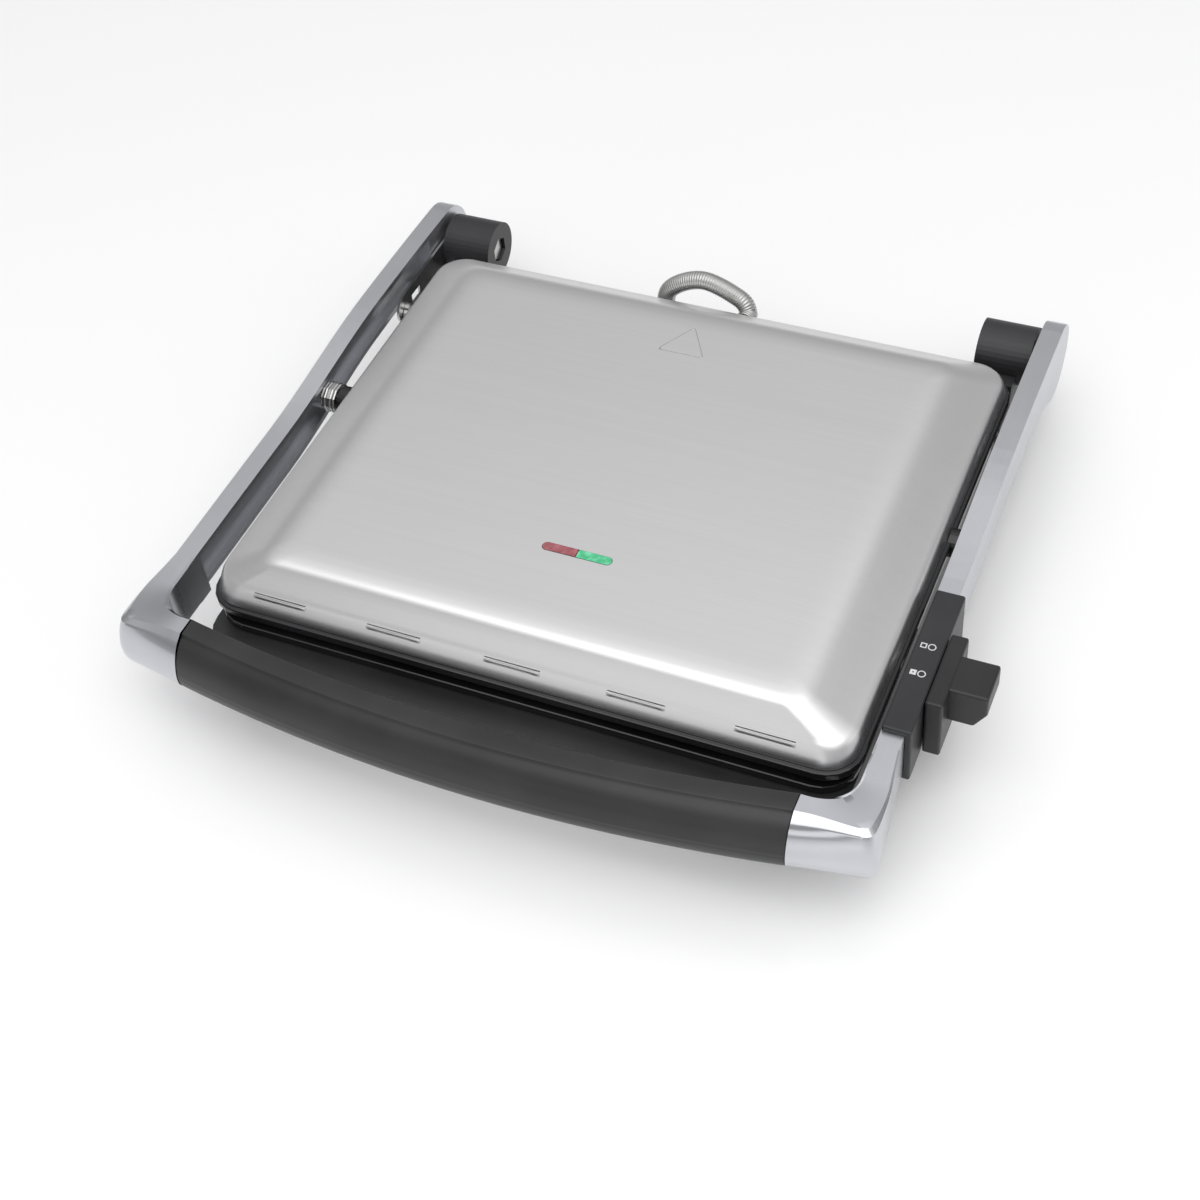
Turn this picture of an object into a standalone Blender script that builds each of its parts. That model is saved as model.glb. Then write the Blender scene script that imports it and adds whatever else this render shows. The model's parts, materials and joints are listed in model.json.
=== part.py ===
"""Panini press: base with a ribbed plate, a floating lid and a bowed handle frame.

Units are metres, +Z is up, +Y points to the rear hinge and +X to the lock lever.
Every size below is in the press frame, whose X = 0 is the plane of symmetry.
"""
import math

import bmesh
import bpy
from mathutils import Euler, Vector

# Clearances
GAP = 0.0003            # between pieces that rest on each other
BORE_GAP = 0.0003       # added to a radius that turns in a bore
SIDE_GAP = 0.0006       # between pieces that slide past each other

OVERLAP = 0.003         # how far two shapes that are joined run into each other
CUT = 0.01              # how far a cutter runs on past the face it opens

# A point this close to the line between its neighbours is left out of an outline
STRAIGHT_TOLERANCE = 0.00001

# Rear hinge
HINGE_Y = 0.033
HINGE_Z = 0.043
EYE_RADIUS = 0.021
BARREL_RADIUS = 0.0165
BARREL_LENGTH = 0.0295
PIN_RADIUS = 0.005
PIN_HEAD_RADIUS = 0.0075
PIN_HEAD_DEPTH = 0.006
BRACKET_THICKNESS = 0.0015
BRACKET_HALF_WIDTH = 0.009
BRACKET_LENGTH = 0.066
STUD_RADIUS = 0.0065
STUD_NECK_RADIUS = 0.003
STUD_DROP = 0.005
BRACKET_SLOT_START = 0.008
BRACKET_SLOT_LENGTH = 0.010
BRACKET_SLOT_HEIGHT = 0.006

# The base and the lid sit towards the lock, which leaves room for the spring on the left
BODY_X = 0.006

# Arms of the handle frame
ARM_OUTER_X = 0.190
ARM_WIDTH = 0.011
ARM_WEB = 0.003
ARM_WALL = 0.003
ARM_LOWER_FLANGE = 0.007
ARM_TOP_Z = 0.060
ARM_BOTTOM_Z = 0.032
ARM_ARCH_TOP = 0.006
ARM_ARCH_BOTTOM = 0.008
ARM_ARCH_START_Y = -0.165
ARM_ARCH_CREST_Y = -0.060
ARM_DROP_LENGTH = 0.0462
POCKET_REAR_MARGIN = 0.02625
POCKET_FRONT_MARGIN = 0.010
ARM_FRONT_Y = -0.268

# Front corners and grip
CORNER_INNER_RADIUS = 0.018
CORNER_FRONT_SLOPE = 0.19
CORNER_SIDE_SLOPE = 0.141
CORNER_FLARE = 0.0065
CORNER_OUTER_Y = -0.308
CORNER_SHARPNESS = 14
CORNER_ROUNDING = 0.00003
CASTING_REACH = 0.022
GRIP_BACK_Y = -0.300
GRIP_BOW = 0.0135
GRIP_DEPTH = 0.023
GRIP_HEIGHT = 0.029
GRIP_BOTTOM_Z = 0.0335
GRIP_BORE_RADIUS = 0.0048
CORE_OVERLAP = 0.012

# Sections as shares of depth outward and of height: the D of the grip and the bar of an arm
GRIP_SECTION = ((0.06, 0), (0, 0.05), (0, 0.95), (0.06, 1), (0.46, 1), (0.65, 0.90), (0.81, 0.75),
                (0.93, 0.55), (1, 0.33), (0.98, 0.14), (0.88, 0.035), (0.74, 0))
BAR_SECTION = ((0.08, 0), (0, 0.03), (0, 0.97), (0.08, 1), (0.93, 1), (1, 0.97), (1, 0.80),
               (1, 0.60), (1, 0.40), (1, 0.20), (1, 0.03), (0.93, 0))

# Lock on the right arm
SLEEVE_REAR_Y = -0.166
SLEEVE_FRONT_Y = -0.254
SLEEVE_WALL = 0.003
SLEEVE_EDGE = 0.001
LEVER_CENTRE_Y = -0.215
LEVER_LENGTH = 0.044
LEVER_THICKNESS = 0.0085
LEVER_TOP_Z = 0.066
LEVER_BOTTOM_Z = 0.030
PADDLE_REACH = 0.018
PADDLE_LENGTH = 0.022
PADDLE_DROP = 0.022
PADDLE_STEP = 0.0005
PADDLE_SIDE_HEIGHT = 0.0121
PADDLE_SLANT = 0.006
LEVER_EDGE = 0.0012
LOCK_TRAVEL = 0.016
TENON_HEIGHT = 0.010
TENON_LENGTH = 0.018

# Lid
LID_HALF_WIDTH = 0.167
LID_FRONT_Y = -0.281
LID_BACK_Y = -0.0035
LID_RIM_Z = 0.0555
LID_TOP_Z = 0.0802
LID_SHEET = 0.0008
LID_CORNER = 0.016
SIDE_FACET = 0.0290
FRONT_FACET = 0.0160
BACK_FACET = 0.0245
FRAME_LIP = 0.0025
FRAME_EDGE = 0.0015
FRAME_BOTTOM_Z = 0.0505
VENT_COUNT = 5
VENT_PITCH = 0.063
VENT_LENGTH = 0.030
VENT_HEIGHT = 0.0016
VENT_Z = 0.0632
WINDOW_X = 0.008
WINDOW_Y = -0.214
WINDOW_LENGTH = 0.037
WINDOW_WIDTH = 0.0056
LENS_DEPTH = 0.0035
LENS_RISE = 0.0002
HOLDER_MARGIN = 0.003
HOLDER_HALF_DEPTH = 0.006
HOLDER_THICKNESS = 0.003

# Lid pivots
PIVOT_Y = -0.122
PIVOT_Z = 0.050
PIVOT_RADIUS = 0.0035
PIVOT_BOSS_RADIUS = 0.0075
PIN_BED = 0.001
ARM_BOSS_LENGTH = 0.0065
SPRING_RADIUS = 0.0078
SPRING_LENGTH = 0.0105
BUSH_LENGTH = 0.0015
SPRING_WIRE = 0.0009
SPRING_TURNS = 4.5
SPRING_POINTS = 10

# Grill plates
LOWER_CONTACT_Z = 0.0458
UPPER_CONTACT_Z = 0.0517
PLATE_HALF_WIDTH = 0.151
PLATE_FRONT_Y = -0.268
PLATE_BACK_Y = -0.024
PLATE_FLOOR = 0.004
RIB_HEIGHT = 0.0032
RIB_PITCH = 0.0135
RIB_COUNT = 20
RIB_TOP_SHARE = 0.36
RIB_FOOT_SHARE = 0.56
RIM_SET_BACK = 0.0006
PLATE_CORNER = 0.006
PLATE_INNER_CORNER = 0.004
RIM_WIDTH = 0.005
PLATE_EDGE_HEIGHT = 0.0085
ELEMENT_RADIUS = 0.0035
ELEMENT_HALF_SPAN = 0.105
ELEMENT_BEND = 0.052
ELEMENT_FRONT_REACH = 0.075
ELEMENT_REAR_REACH = 0.100
ELEMENT_DIP = 0.055
THERMOSTAT_RADIUS = 0.010
THERMOSTAT_HEIGHT = 0.007
THERMOSTAT_Y = -0.200

# Base
BASE_HALF_WIDTH = 0.167
BASE_FRONT_Y = -0.297
BASE_BACK_Y = 0.0
BASE_BOTTOM_Z = 0.008
BASE_WALL = 0.003
BASE_CORNER = 0.018
BASE_REAR_CORNER = 0.006
SHELF_Z = 0.040
BEZEL_TOP_Z = 0.0447
BEZEL_FRONT_Y = -0.2835
COVER_THICKNESS = 0.002
COVER_MARGIN = 0.001
FOOT_EDGE = 0.0015
FOOT_TAPER = 0.85
FOOT_RADIUS = 0.011
FOOT_X = 0.132
FOOT_FRONT_Y = -0.262
FOOT_BACK_Y = -0.022
SCREW_RADIUS = 0.003
SCREW_INSET = 0.034
SHIELD_DROP = 0.018
SHIELD_THICKNESS = 0.001
SHIELD_MARGIN = 0.006
SHIELD_REAR_MARGIN = 0.002
SHIELD_CORNER = 0.010
POST_RADIUS = 0.004
POST_X = 0.100
POST_INSET = 0.030
TOWER_FOOT_INSET = 0.0066
TOWER_FOOT_LENGTH = 0.036
TOWER_FOOT_RISE = 0.004
TOWER_FOOT_DROP = 0.012
TOWER_FOOT_BACK = 0.016
TOWER_WEB_INNER = 0.004
TOWER_WEB_OUTER = 0.006
TOWER_WEB_RISE = 0.007
TOWER_WEB_FRONT = 0.008
TOWER_WEB_BACK = 0.006
TOWER_WEB_DROP = 0.002
PIN_INSET = 0.004
PIN_HEAD_INSET = 0.002

# Conduit between base and lid, and the cord gland
CONDUIT_RADIUS = 0.0052
CONDUIT_BASE_X = -0.036
CONDUIT_LID_X = 0.015
CONDUIT_CREST_Z = 0.0700
CONDUIT_REAR_Y = 0.0085
CONDUIT_LID_Z = 0.0565
SOCKET_TOP_Z = 0.030
SOCKET_WALL = 0.003
SOCKET_RISE = 0.004
SOCKET_EDGE = 0.002
SOCKET_DEPTH = 0.008
CONDUIT_STEPS = 5
CONDUIT_SQUARE_END = 0.001      # straight stretch on each side of the split
# Offsets of the hose's centre line from its socket, its crest and the point where it enters the lid
CONDUIT_FOOT = Vector((0, 0, -0.007))
CONDUIT_RISE = Vector((0, 0, 0.012))
CONDUIT_SHOULDER = Vector((0.003, 0.001, -0.010))
CONDUIT_CREST = Vector((-0.003, 0.002, 0))
CONDUIT_FALL = Vector((-0.006, 0, -0.006))
CONDUIT_TURN = Vector((0, 0.007, 0.0006))
CONDUIT_ENTRY = Vector((0, 0.002, 0))
GLAND_X = 0.070
GLAND_Z = 0.022
GLAND_RADIUS = 0.0085
GLAND_FLANGE = 0.004
GLAND_LENGTH = 0.010
GLAND_DEPTH = 0.006
GLAND_SLEEVE_RADIUS = 0.0051
GLAND_BORE_RADIUS = 0.00323

# Sizes that follow from the ones above
ARM_INNER_X = ARM_OUTER_X - ARM_WIDTH
BRACKET_INNER_X = ARM_INNER_X - SIDE_GAP - BRACKET_THICKNESS
BARREL_OUTER_X = BRACKET_INNER_X - GAP
# Rings of the pressed cover: share of its height, insets of side, front and back, share of the corner radius
COVER_LEVELS = ((0.00, 0.0, 0.0, 0.0, 1), (0.06, 0.0, 0.0, 0.0, 1), (0.33, 0.0012, 0.0040, 0.0012, 1),
                (0.40, 0.0022, 0.0052, 0.0022, 1), (0.46, 0.0048, 0.0064, 0.0042, 1),
                (0.90, SIDE_FACET - 0.0040, FRONT_FACET - 0.0025, BACK_FACET - 0.0040, 0.72),
                (0.965, SIDE_FACET, FRONT_FACET, BACK_FACET, 0.62),
                (1.00, SIDE_FACET + 0.006, FRONT_FACET + 0.005, BACK_FACET + 0.006, 0.5))
FRAME_HALF_WIDTH = LID_HALF_WIDTH + FRAME_LIP
FRAME_FRONT_Y = LID_FRONT_Y - FRAME_LIP
FRAME_BACK_Y = LID_BACK_Y + FRAME_LIP
FRAME_TOP_Z = LID_RIM_Z - GAP
ARM_BOSS_END_X = ARM_OUTER_X - ARM_WEB - ARM_BOSS_LENGTH
SLEEVE_OUTER_X = ARM_OUTER_X + GAP + SLEEVE_WALL
LEVER_INNER_X = SLEEVE_OUTER_X + SIDE_GAP
LEVER_OUTER_X = LEVER_INNER_X + LEVER_THICKNESS
LEVER_TIP_X = LEVER_OUTER_X + PADDLE_REACH
CORNER_OUTER_X = ARM_OUTER_X + CORNER_FLARE
GRIP_END_X = ARM_INNER_X - CASTING_REACH
CORNER_CENTRE_X = ARM_INNER_X - CORNER_INNER_RADIUS
CORNER_CENTRE_Y = GRIP_BACK_Y + CORNER_INNER_RADIUS
FRONT_EXTENT = GRIP_BACK_Y - GRIP_BOW - GRIP_DEPTH
REAR_EXTENT = HINGE_Y + EYE_RADIUS
CORNER_EXTENT = CORNER_OUTER_X - CORNER_ROUNDING
ARM_DROP_START_Y = HINGE_Y - ARM_DROP_LENGTH
ROOT_OFFSET = Vector((-(LEVER_TIP_X - CORNER_EXTENT) / 2, -(FRONT_EXTENT + REAR_EXTENT) / 2, 0))

for old in list(bpy.data.objects):
    bpy.data.objects.remove(old)

PARTS = bpy.data.collections.new("panini_press")
CUTTERS = bpy.data.collections.new("cutters")
bpy.context.scene.collection.children.link(PARTS)
bpy.context.scene.collection.children.link(CUTTERS)


def make_material(name, colour, roughness, metallic):
    material = bpy.data.materials.new(name)
    material.use_nodes = True
    shader = material.node_tree.nodes["Principled BSDF"]
    shader.inputs["Base Color"].default_value = (*colour, 1)
    shader.inputs["Roughness"].default_value = roughness
    shader.inputs["Metallic"].default_value = metallic
    return material


BRUSHED = make_material("brushed_steel", (0.62, 0.61, 0.60), 0.35, 1)
CAST = make_material("cast_alloy", (0.45, 0.45, 0.48), 0.38, 1)
STEEL = make_material("zinc_steel", (0.55, 0.54, 0.52), 0.30, 1)
HOSE = make_material("hose_metal", (0.42, 0.39, 0.37), 0.40, 1)
GRIP_BLACK = make_material("grip_plastic", (0.035, 0.035, 0.038), 0.50, 0)
HINGE_BLACK = make_material("hinge_plastic", (0.045, 0.045, 0.048), 0.45, 0)
LOCK_BLACK = make_material("lock_plastic", (0.022, 0.022, 0.025), 0.45, 0)
GLOSS_BLACK = make_material("gloss_plastic", (0.010, 0.010, 0.011), 0.18, 0)
NONSTICK = make_material("nonstick_coating", (0.020, 0.020, 0.021), 0.40, 0.2)
RUBBER = make_material("rubber", (0.015, 0.015, 0.015), 0.85, 0)
RED = make_material("red_lens", (0.32, 0.06, 0.07), 0.25, 0)
GREEN = make_material("green_lens", (0.05, 0.50, 0.22), 0.20, 0)
CERAMIC = make_material("ceramic", (0.70, 0.68, 0.62), 0.60, 0)
ELEMENT = make_material("element_sheath", (0.12, 0.11, 0.10), 0.50, 1)


def make_axis(name, position, parent=None, shift=0.0):
    """An empty on a joint axis; a shift moves all that hangs from it sideways."""
    axis = bpy.data.objects.new(name, None)
    PARTS.objects.link(axis)
    axis["place"] = position[:]
    axis.parent = parent
    axis.location = Vector(position) - Vector(parent["place"]) if parent else ROOT_OFFSET
    axis.location.x += shift
    return axis


BASE = make_axis("press_frame", (0, 0, 0))
BODY = make_axis("body_centre", (0, 0, 0), BASE, BODY_X)
ARMS = make_axis("arm_hinge_axis", (0, HINGE_Y, HINGE_Z), BASE)
LID = make_axis("lid_pivot_axis", (0, PIVOT_Y, PIVOT_Z), ARMS, BODY_X)
LOCK = make_axis("lock_slide_axis", (LEVER_INNER_X, LEVER_CENTRE_Y, ARM_TOP_Z), ARMS)


def place(piece, parent, collection=PARTS):
    collection.objects.link(piece)
    piece.parent = parent
    piece.location = Vector(piece.location) - Vector(parent["place"])
    return piece


def add_part(piece, material, parent, smooth_angle=30):
    place(piece, parent)
    piece.data.materials.append(material)
    if piece.type == "MESH":
        piece.data.shade_smooth()
        piece.data.set_sharp_from_angle(angle=math.radians(smooth_angle))
    return piece


def mesh_object(name, build, location=(0, 0, 0)):
    shape = bmesh.new()
    build(shape)
    mesh = bpy.data.meshes.new(name)
    bmesh.ops.recalc_face_normals(shape, faces=shape.faces)
    shape.to_mesh(mesh)
    shape.free()
    piece = bpy.data.objects.new(name, mesh)
    piece.location = location
    return piece


def box(name, low, high):
    low = Vector(low)
    high = Vector(high)

    def build(shape):
        bmesh.ops.create_cube(shape, size=1)
        bmesh.ops.scale(shape, vec=high - low, verts=shape.verts)

    return mesh_object(name, build, (low + high) / 2)


def cylinder(name, radius, start, end, segments=32):
    start = Vector(start)
    end = Vector(end)

    def build(shape):
        bmesh.ops.create_cone(shape, cap_ends=True, segments=segments, radius1=radius,
                              radius2=radius, depth=(end - start).length)

    piece = mesh_object(name, build, (start + end) / 2)
    piece.rotation_euler = (end - start).to_track_quat("Z", "Y").to_euler()
    return piece


def to_mesh(piece):
    """Turn a curve object into a mesh object with its caps welded."""
    bpy.context.scene.collection.objects.link(piece)
    bpy.context.view_layer.update()
    evaluated = piece.evaluated_get(bpy.context.evaluated_depsgraph_get())
    mesh = bpy.data.meshes.new_from_object(evaluated)
    shape = bmesh.new()
    shape.from_mesh(mesh)
    bmesh.ops.remove_doubles(shape, verts=shape.verts, dist=1e-6)
    bmesh.ops.recalc_face_normals(shape, faces=shape.faces)
    shape.to_mesh(mesh)
    shape.free()
    solid = bpy.data.objects.new(piece.name, mesh)
    solid.matrix_world = piece.matrix_world
    name = piece.name
    bpy.data.objects.remove(piece)
    solid.name = name
    return solid


def without_straight_points(outline):
    """Drop the points of an outline that lie on the line between their neighbours."""
    kept = []
    for index, point in enumerate(outline):
        before = Vector(kept[-1] if kept else outline[-1])
        after = Vector(outline[(index + 1) % len(outline)])
        span = after - before
        offset = Vector(point) - before
        if abs(span.x * offset.y - span.y * offset.x) > STRAIGHT_TOLERANCE * span.length:
            kept.append(point)
    return kept


def prism(name, outline, axis, start, end):
    """Extrude a flat outline along X (outline in Y, Z) or along Z (outline in X, Y)."""
    outline = without_straight_points(outline)
    curve = bpy.data.curves.new(name, "CURVE")
    curve.dimensions = "2D"
    curve.fill_mode = "BOTH"
    curve.extrude = abs(end - start) / 2
    spline = curve.splines.new("POLY")
    spline.points.add(len(outline) - 1)
    for point, (across, along) in zip(spline.points, outline):
        point.co = (across, along, 0, 1)
    spline.use_cyclic_u = True
    piece = bpy.data.objects.new(name, curve)
    middle = (start + end) / 2
    piece.location = (middle, 0, 0) if axis == "X" else (0, 0, middle)
    if axis == "X":
        piece.rotation_euler = Euler((math.pi / 2, 0, math.pi / 2))
    return to_mesh(piece)


def tube(name, points, radius, resolution=2):
    curve = bpy.data.curves.new(name, "CURVE")
    curve.dimensions = "3D"
    curve.bevel_depth = radius
    curve.bevel_resolution = resolution
    curve.use_fill_caps = True
    spline = curve.splines.new("POLY")
    spline.points.add(len(points) - 1)
    for point, place_at in zip(spline.points, points):
        point.co = (*place_at, 1)
    return bpy.data.objects.new(name, curve)


def combine(piece, tool, parent, operation="DIFFERENCE", solver="EXACT"):
    place(tool, parent, CUTTERS)
    tool.hide_render = True
    tool.display_type = "WIRE"
    change = piece.modifiers.new(tool.name, "BOOLEAN")
    change.operation = operation
    change.solver = solver
    change.object = tool
    return piece


def round_edges(piece, width, segments=2, angle=40):
    bevel = piece.modifiers.new("rounding", "BEVEL")
    bevel.width = width
    bevel.segments = segments
    bevel.limit_method = "ANGLE"
    bevel.angle_limit = math.radians(angle)
    return piece


def arc(centre, radius, start, end, steps):
    """Points on an arc, angles in degrees."""
    points = []
    for step in range(steps + 1):
        angle = math.radians(start + (end - start) * step / steps)
        points.append((centre[0] + radius * math.cos(angle), centre[1] + radius * math.sin(angle)))
    return points


def rounded_rectangle(half_width, front, back, radius, rear_radius=None, steps=5):
    rear_radius = rear_radius or radius
    front_x = half_width - radius
    rear_x = half_width - rear_radius
    points = arc((front_x, front + radius), radius, -90, 0, steps)
    points += arc((rear_x, back - rear_radius), rear_radius, 0, 90, steps)
    points += arc((-rear_x, back - rear_radius), rear_radius, 90, 180, steps)
    points += arc((-front_x, front + radius), radius, 180, 270, steps)
    return points


def smooth(value):
    value = min(max(value, 0), 1)
    return value * value * (3 - 2 * value)


def sides():
    return (("left", -1), ("right", 1))


# ---------------------------------------------------------------- base

def base_housing():
    outer = rounded_rectangle(BASE_HALF_WIDTH, BASE_FRONT_Y, BASE_BACK_Y, BASE_CORNER, BASE_REAR_CORNER)
    inner = rounded_rectangle(BASE_HALF_WIDTH - BASE_WALL, BEZEL_FRONT_Y + BASE_WALL,
                              BASE_BACK_Y - BASE_WALL, BASE_CORNER - BASE_WALL, BASE_REAR_CORNER - BASE_WALL)
    housing = round_edges(prism("base_housing", outer, "Z", BASE_BOTTOM_Z, SHELF_Z), 0.0015)
    combine(housing, prism("base_cavity", inner, "Z", BASE_BOTTOM_Z - 0.01, SHELF_Z + 0.01), BODY)
    gland = cylinder("gland_hole", GLAND_RADIUS * 0.6 + BORE_GAP,
                     (GLAND_X, BASE_BACK_Y - 0.01, GLAND_Z), (GLAND_X, BASE_BACK_Y + 0.01, GLAND_Z), 24)
    combine(housing, gland, BODY)
    add_part(housing, GRIP_BLACK, BODY)


def base_bezel():
    outer = rounded_rectangle(BASE_HALF_WIDTH, BEZEL_FRONT_Y, BASE_BACK_Y - 0.004, BASE_CORNER)
    inner = rounded_rectangle(PLATE_HALF_WIDTH + GAP, PLATE_FRONT_Y - GAP, PLATE_BACK_Y + GAP, 0.006)
    bezel = round_edges(prism("base_bezel", outer, "Z", SHELF_Z + GAP, BEZEL_TOP_Z), 0.001)
    combine(bezel, prism("bezel_hole", inner, "Z", SHELF_Z - 0.01, BEZEL_TOP_Z + 0.01), BODY)
    add_part(bezel, GLOSS_BLACK, BODY)


def bottom_cover():
    outline = rounded_rectangle(BASE_HALF_WIDTH - COVER_MARGIN, BASE_FRONT_Y + COVER_MARGIN,
                                BASE_BACK_Y - COVER_MARGIN, BASE_CORNER, BASE_REAR_CORNER)
    top = BASE_BOTTOM_Z - GAP
    cover = prism("bottom_cover", outline, "Z", top - COVER_THICKNESS, top)
    for x, y in screw_places():
        hole = cylinder("cover_screw_hole", SCREW_RADIUS * 0.5 + BORE_GAP, (x, y, 0), (x, y, 0.02), 16)
        combine(cover, hole, BODY)
    add_part(cover, HINGE_BLACK, BODY)


def screw_places():
    places = []
    for x in (-BASE_HALF_WIDTH + SCREW_INSET / 2, BASE_HALF_WIDTH - SCREW_INSET / 2):
        for y in (BASE_FRONT_Y + 1.9 * SCREW_INSET, BASE_BACK_Y - 1.9 * SCREW_INSET):
            places.append((x, y))
    return places


def cover_screws():
    top = BASE_BOTTOM_Z - GAP - COVER_THICKNESS - GAP
    for number, (x, y) in enumerate(screw_places(), 1):
        profile = [(0, top - 0.0018), (SCREW_RADIUS, top - 0.0018), (SCREW_RADIUS, top),
                   (SCREW_RADIUS * 0.5, top), (SCREW_RADIUS * 0.5, BASE_BOTTOM_Z + 0.012),
                   (0, BASE_BOTTOM_Z + 0.012)]
        add_part(turned(f"cover_screw_{number}", profile, (x, y, 0), 16), STEEL, BODY)


def turned(name, profile, location, steps=32):
    """A Screw modifier turns the profile, given bottom to top, about a vertical axis."""
    mesh = bpy.data.meshes.new(name)
    points = [(radius, 0, z) for radius, z in reversed(profile)]
    mesh.from_pydata(points, [(i, i + 1) for i in range(len(points) - 1)], [])
    piece = bpy.data.objects.new(name, mesh)
    piece.location = location
    screw = piece.modifiers.new("turn", "SCREW")
    screw.steps = steps
    screw.render_steps = steps
    screw.use_merge_vertices = True
    screw.merge_threshold = 1e-5
    return piece


def feet():
    top = BASE_BOTTOM_Z - GAP - COVER_THICKNESS - GAP
    profile = [(0, 0), (FOOT_RADIUS * FOOT_TAPER, 0), (FOOT_RADIUS, FOOT_EDGE), (FOOT_RADIUS, top), (0, top)]
    for side, sign in sides():
        for end, y in (("front", FOOT_FRONT_Y), ("rear", FOOT_BACK_Y)):
            foot = turned(f"foot_{end}_{side}", profile, (sign * FOOT_X, y, 0), 24)
            add_part(foot, RUBBER, BODY)


def rib_section(bottom, face, ribs_up):
    """Outline in X, Z of a plate whose ribs stand on one face."""
    sign = 1 if ribs_up else -1
    edge = PLATE_HALF_WIDTH - RIM_WIDTH
    points = [(-edge, bottom), (-edge, face)]
    half_top = RIB_PITCH * RIB_TOP_SHARE / 2
    half_foot = RIB_PITCH * RIB_FOOT_SHARE / 2
    for rib in range(RIB_COUNT):
        x = (rib - (RIB_COUNT - 1) / 2) * RIB_PITCH
        points += [(x - half_foot, face), (x - half_top, face + sign * RIB_HEIGHT),
                   (x + half_top, face + sign * RIB_HEIGHT), (x + half_foot, face)]
    return points + [(edge, face), (edge, bottom)]


def grill_plate(name, ribs_up, parent):
    sign = 1 if ribs_up else -1
    contact = LOWER_CONTACT_Z if ribs_up else UPPER_CONTACT_Z
    face = contact - sign * RIB_HEIGHT
    back = face - sign * PLATE_FLOOR
    plate = prism(name, rib_section(back, face, ribs_up), "X", PLATE_FRONT_Y + RIM_WIDTH / 2,
                  PLATE_BACK_Y - RIM_WIDTH / 2)
    # The outline was extruded along X; a quarter turn lays its length along Y.
    middle = (PLATE_FRONT_Y + PLATE_BACK_Y) / 2
    plate.rotation_euler = Euler((math.pi / 2, 0, 0))
    plate.location = (0, middle, 0)
    outer = rounded_rectangle(PLATE_HALF_WIDTH, PLATE_FRONT_Y, PLATE_BACK_Y, PLATE_CORNER)
    inner = rounded_rectangle(PLATE_HALF_WIDTH - RIM_WIDTH - 0.0005, PLATE_FRONT_Y + RIM_WIDTH,
                              PLATE_BACK_Y - RIM_WIDTH, PLATE_INNER_CORNER)
    rim_face = contact - sign * RIM_SET_BACK
    low, high = sorted((rim_face, rim_face - sign * PLATE_EDGE_HEIGHT))
    rim = prism(name + "_rim", outer, "Z", low, high)
    combine(rim, prism(name + "_rim_hole", inner, "Z", low - CUT, high + CUT), parent)
    combine(plate, rim, parent, "UNION")
    add_part(plate, NONSTICK, parent)
    return back


def heating_element(name, z, parent):
    """One tube bent into an M, lying flat on the back of its plate."""
    middle = (PLATE_FRONT_Y + PLATE_BACK_Y) / 2
    front = middle - ELEMENT_FRONT_REACH
    rear = middle + ELEMENT_REAR_REACH
    radius = ELEMENT_BEND / 2
    points = [(-ELEMENT_HALF_SPAN, rear)]
    points += arc((-ELEMENT_HALF_SPAN + radius, front + radius), radius, 180, 360, 10)
    points += arc((0, rear - ELEMENT_DIP), ELEMENT_HALF_SPAN - 2 * radius, 180, 0, 16)
    points += arc((ELEMENT_HALF_SPAN - radius, front + radius), radius, 180, 360, 10)
    points += [(ELEMENT_HALF_SPAN, rear)]
    add_part(tube(name, [(x, y, z) for x, y in points], ELEMENT_RADIUS), ELEMENT, parent)


def heat_shield():
    z = SHELF_Z - SHIELD_DROP
    outline = rounded_rectangle(PLATE_HALF_WIDTH - SHIELD_MARGIN, PLATE_FRONT_Y + SHIELD_MARGIN,
                                PLATE_BACK_Y - SHIELD_REAR_MARGIN, SHIELD_CORNER)
    shield = prism("heat_shield", outline, "Z", z, z + SHIELD_THICKNESS)
    add_part(shield, STEEL, BODY)


def shield_posts():
    """Four posts carry the shield on the bottom cover."""
    low = BASE_BOTTOM_Z
    high = SHELF_Z - SHIELD_DROP - GAP
    for side, sign in sides():
        for end, y in (("front", PLATE_FRONT_Y + POST_INSET), ("rear", PLATE_BACK_Y - POST_INSET)):
            x = sign * POST_X
            post = cylinder(f"shield_post_{end}_{side}", POST_RADIUS, (x, y, low), (x, y, high), 16)
            add_part(post, CERAMIC, BODY)


def thermostat(name, back, sign, parent):
    start = back - sign * GAP
    end = start - sign * THERMOSTAT_HEIGHT
    body = cylinder(name, THERMOSTAT_RADIUS, (0, THERMOSTAT_Y, start), (0, THERMOSTAT_Y, end), 24)
    add_part(body, CERAMIC, parent)


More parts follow.
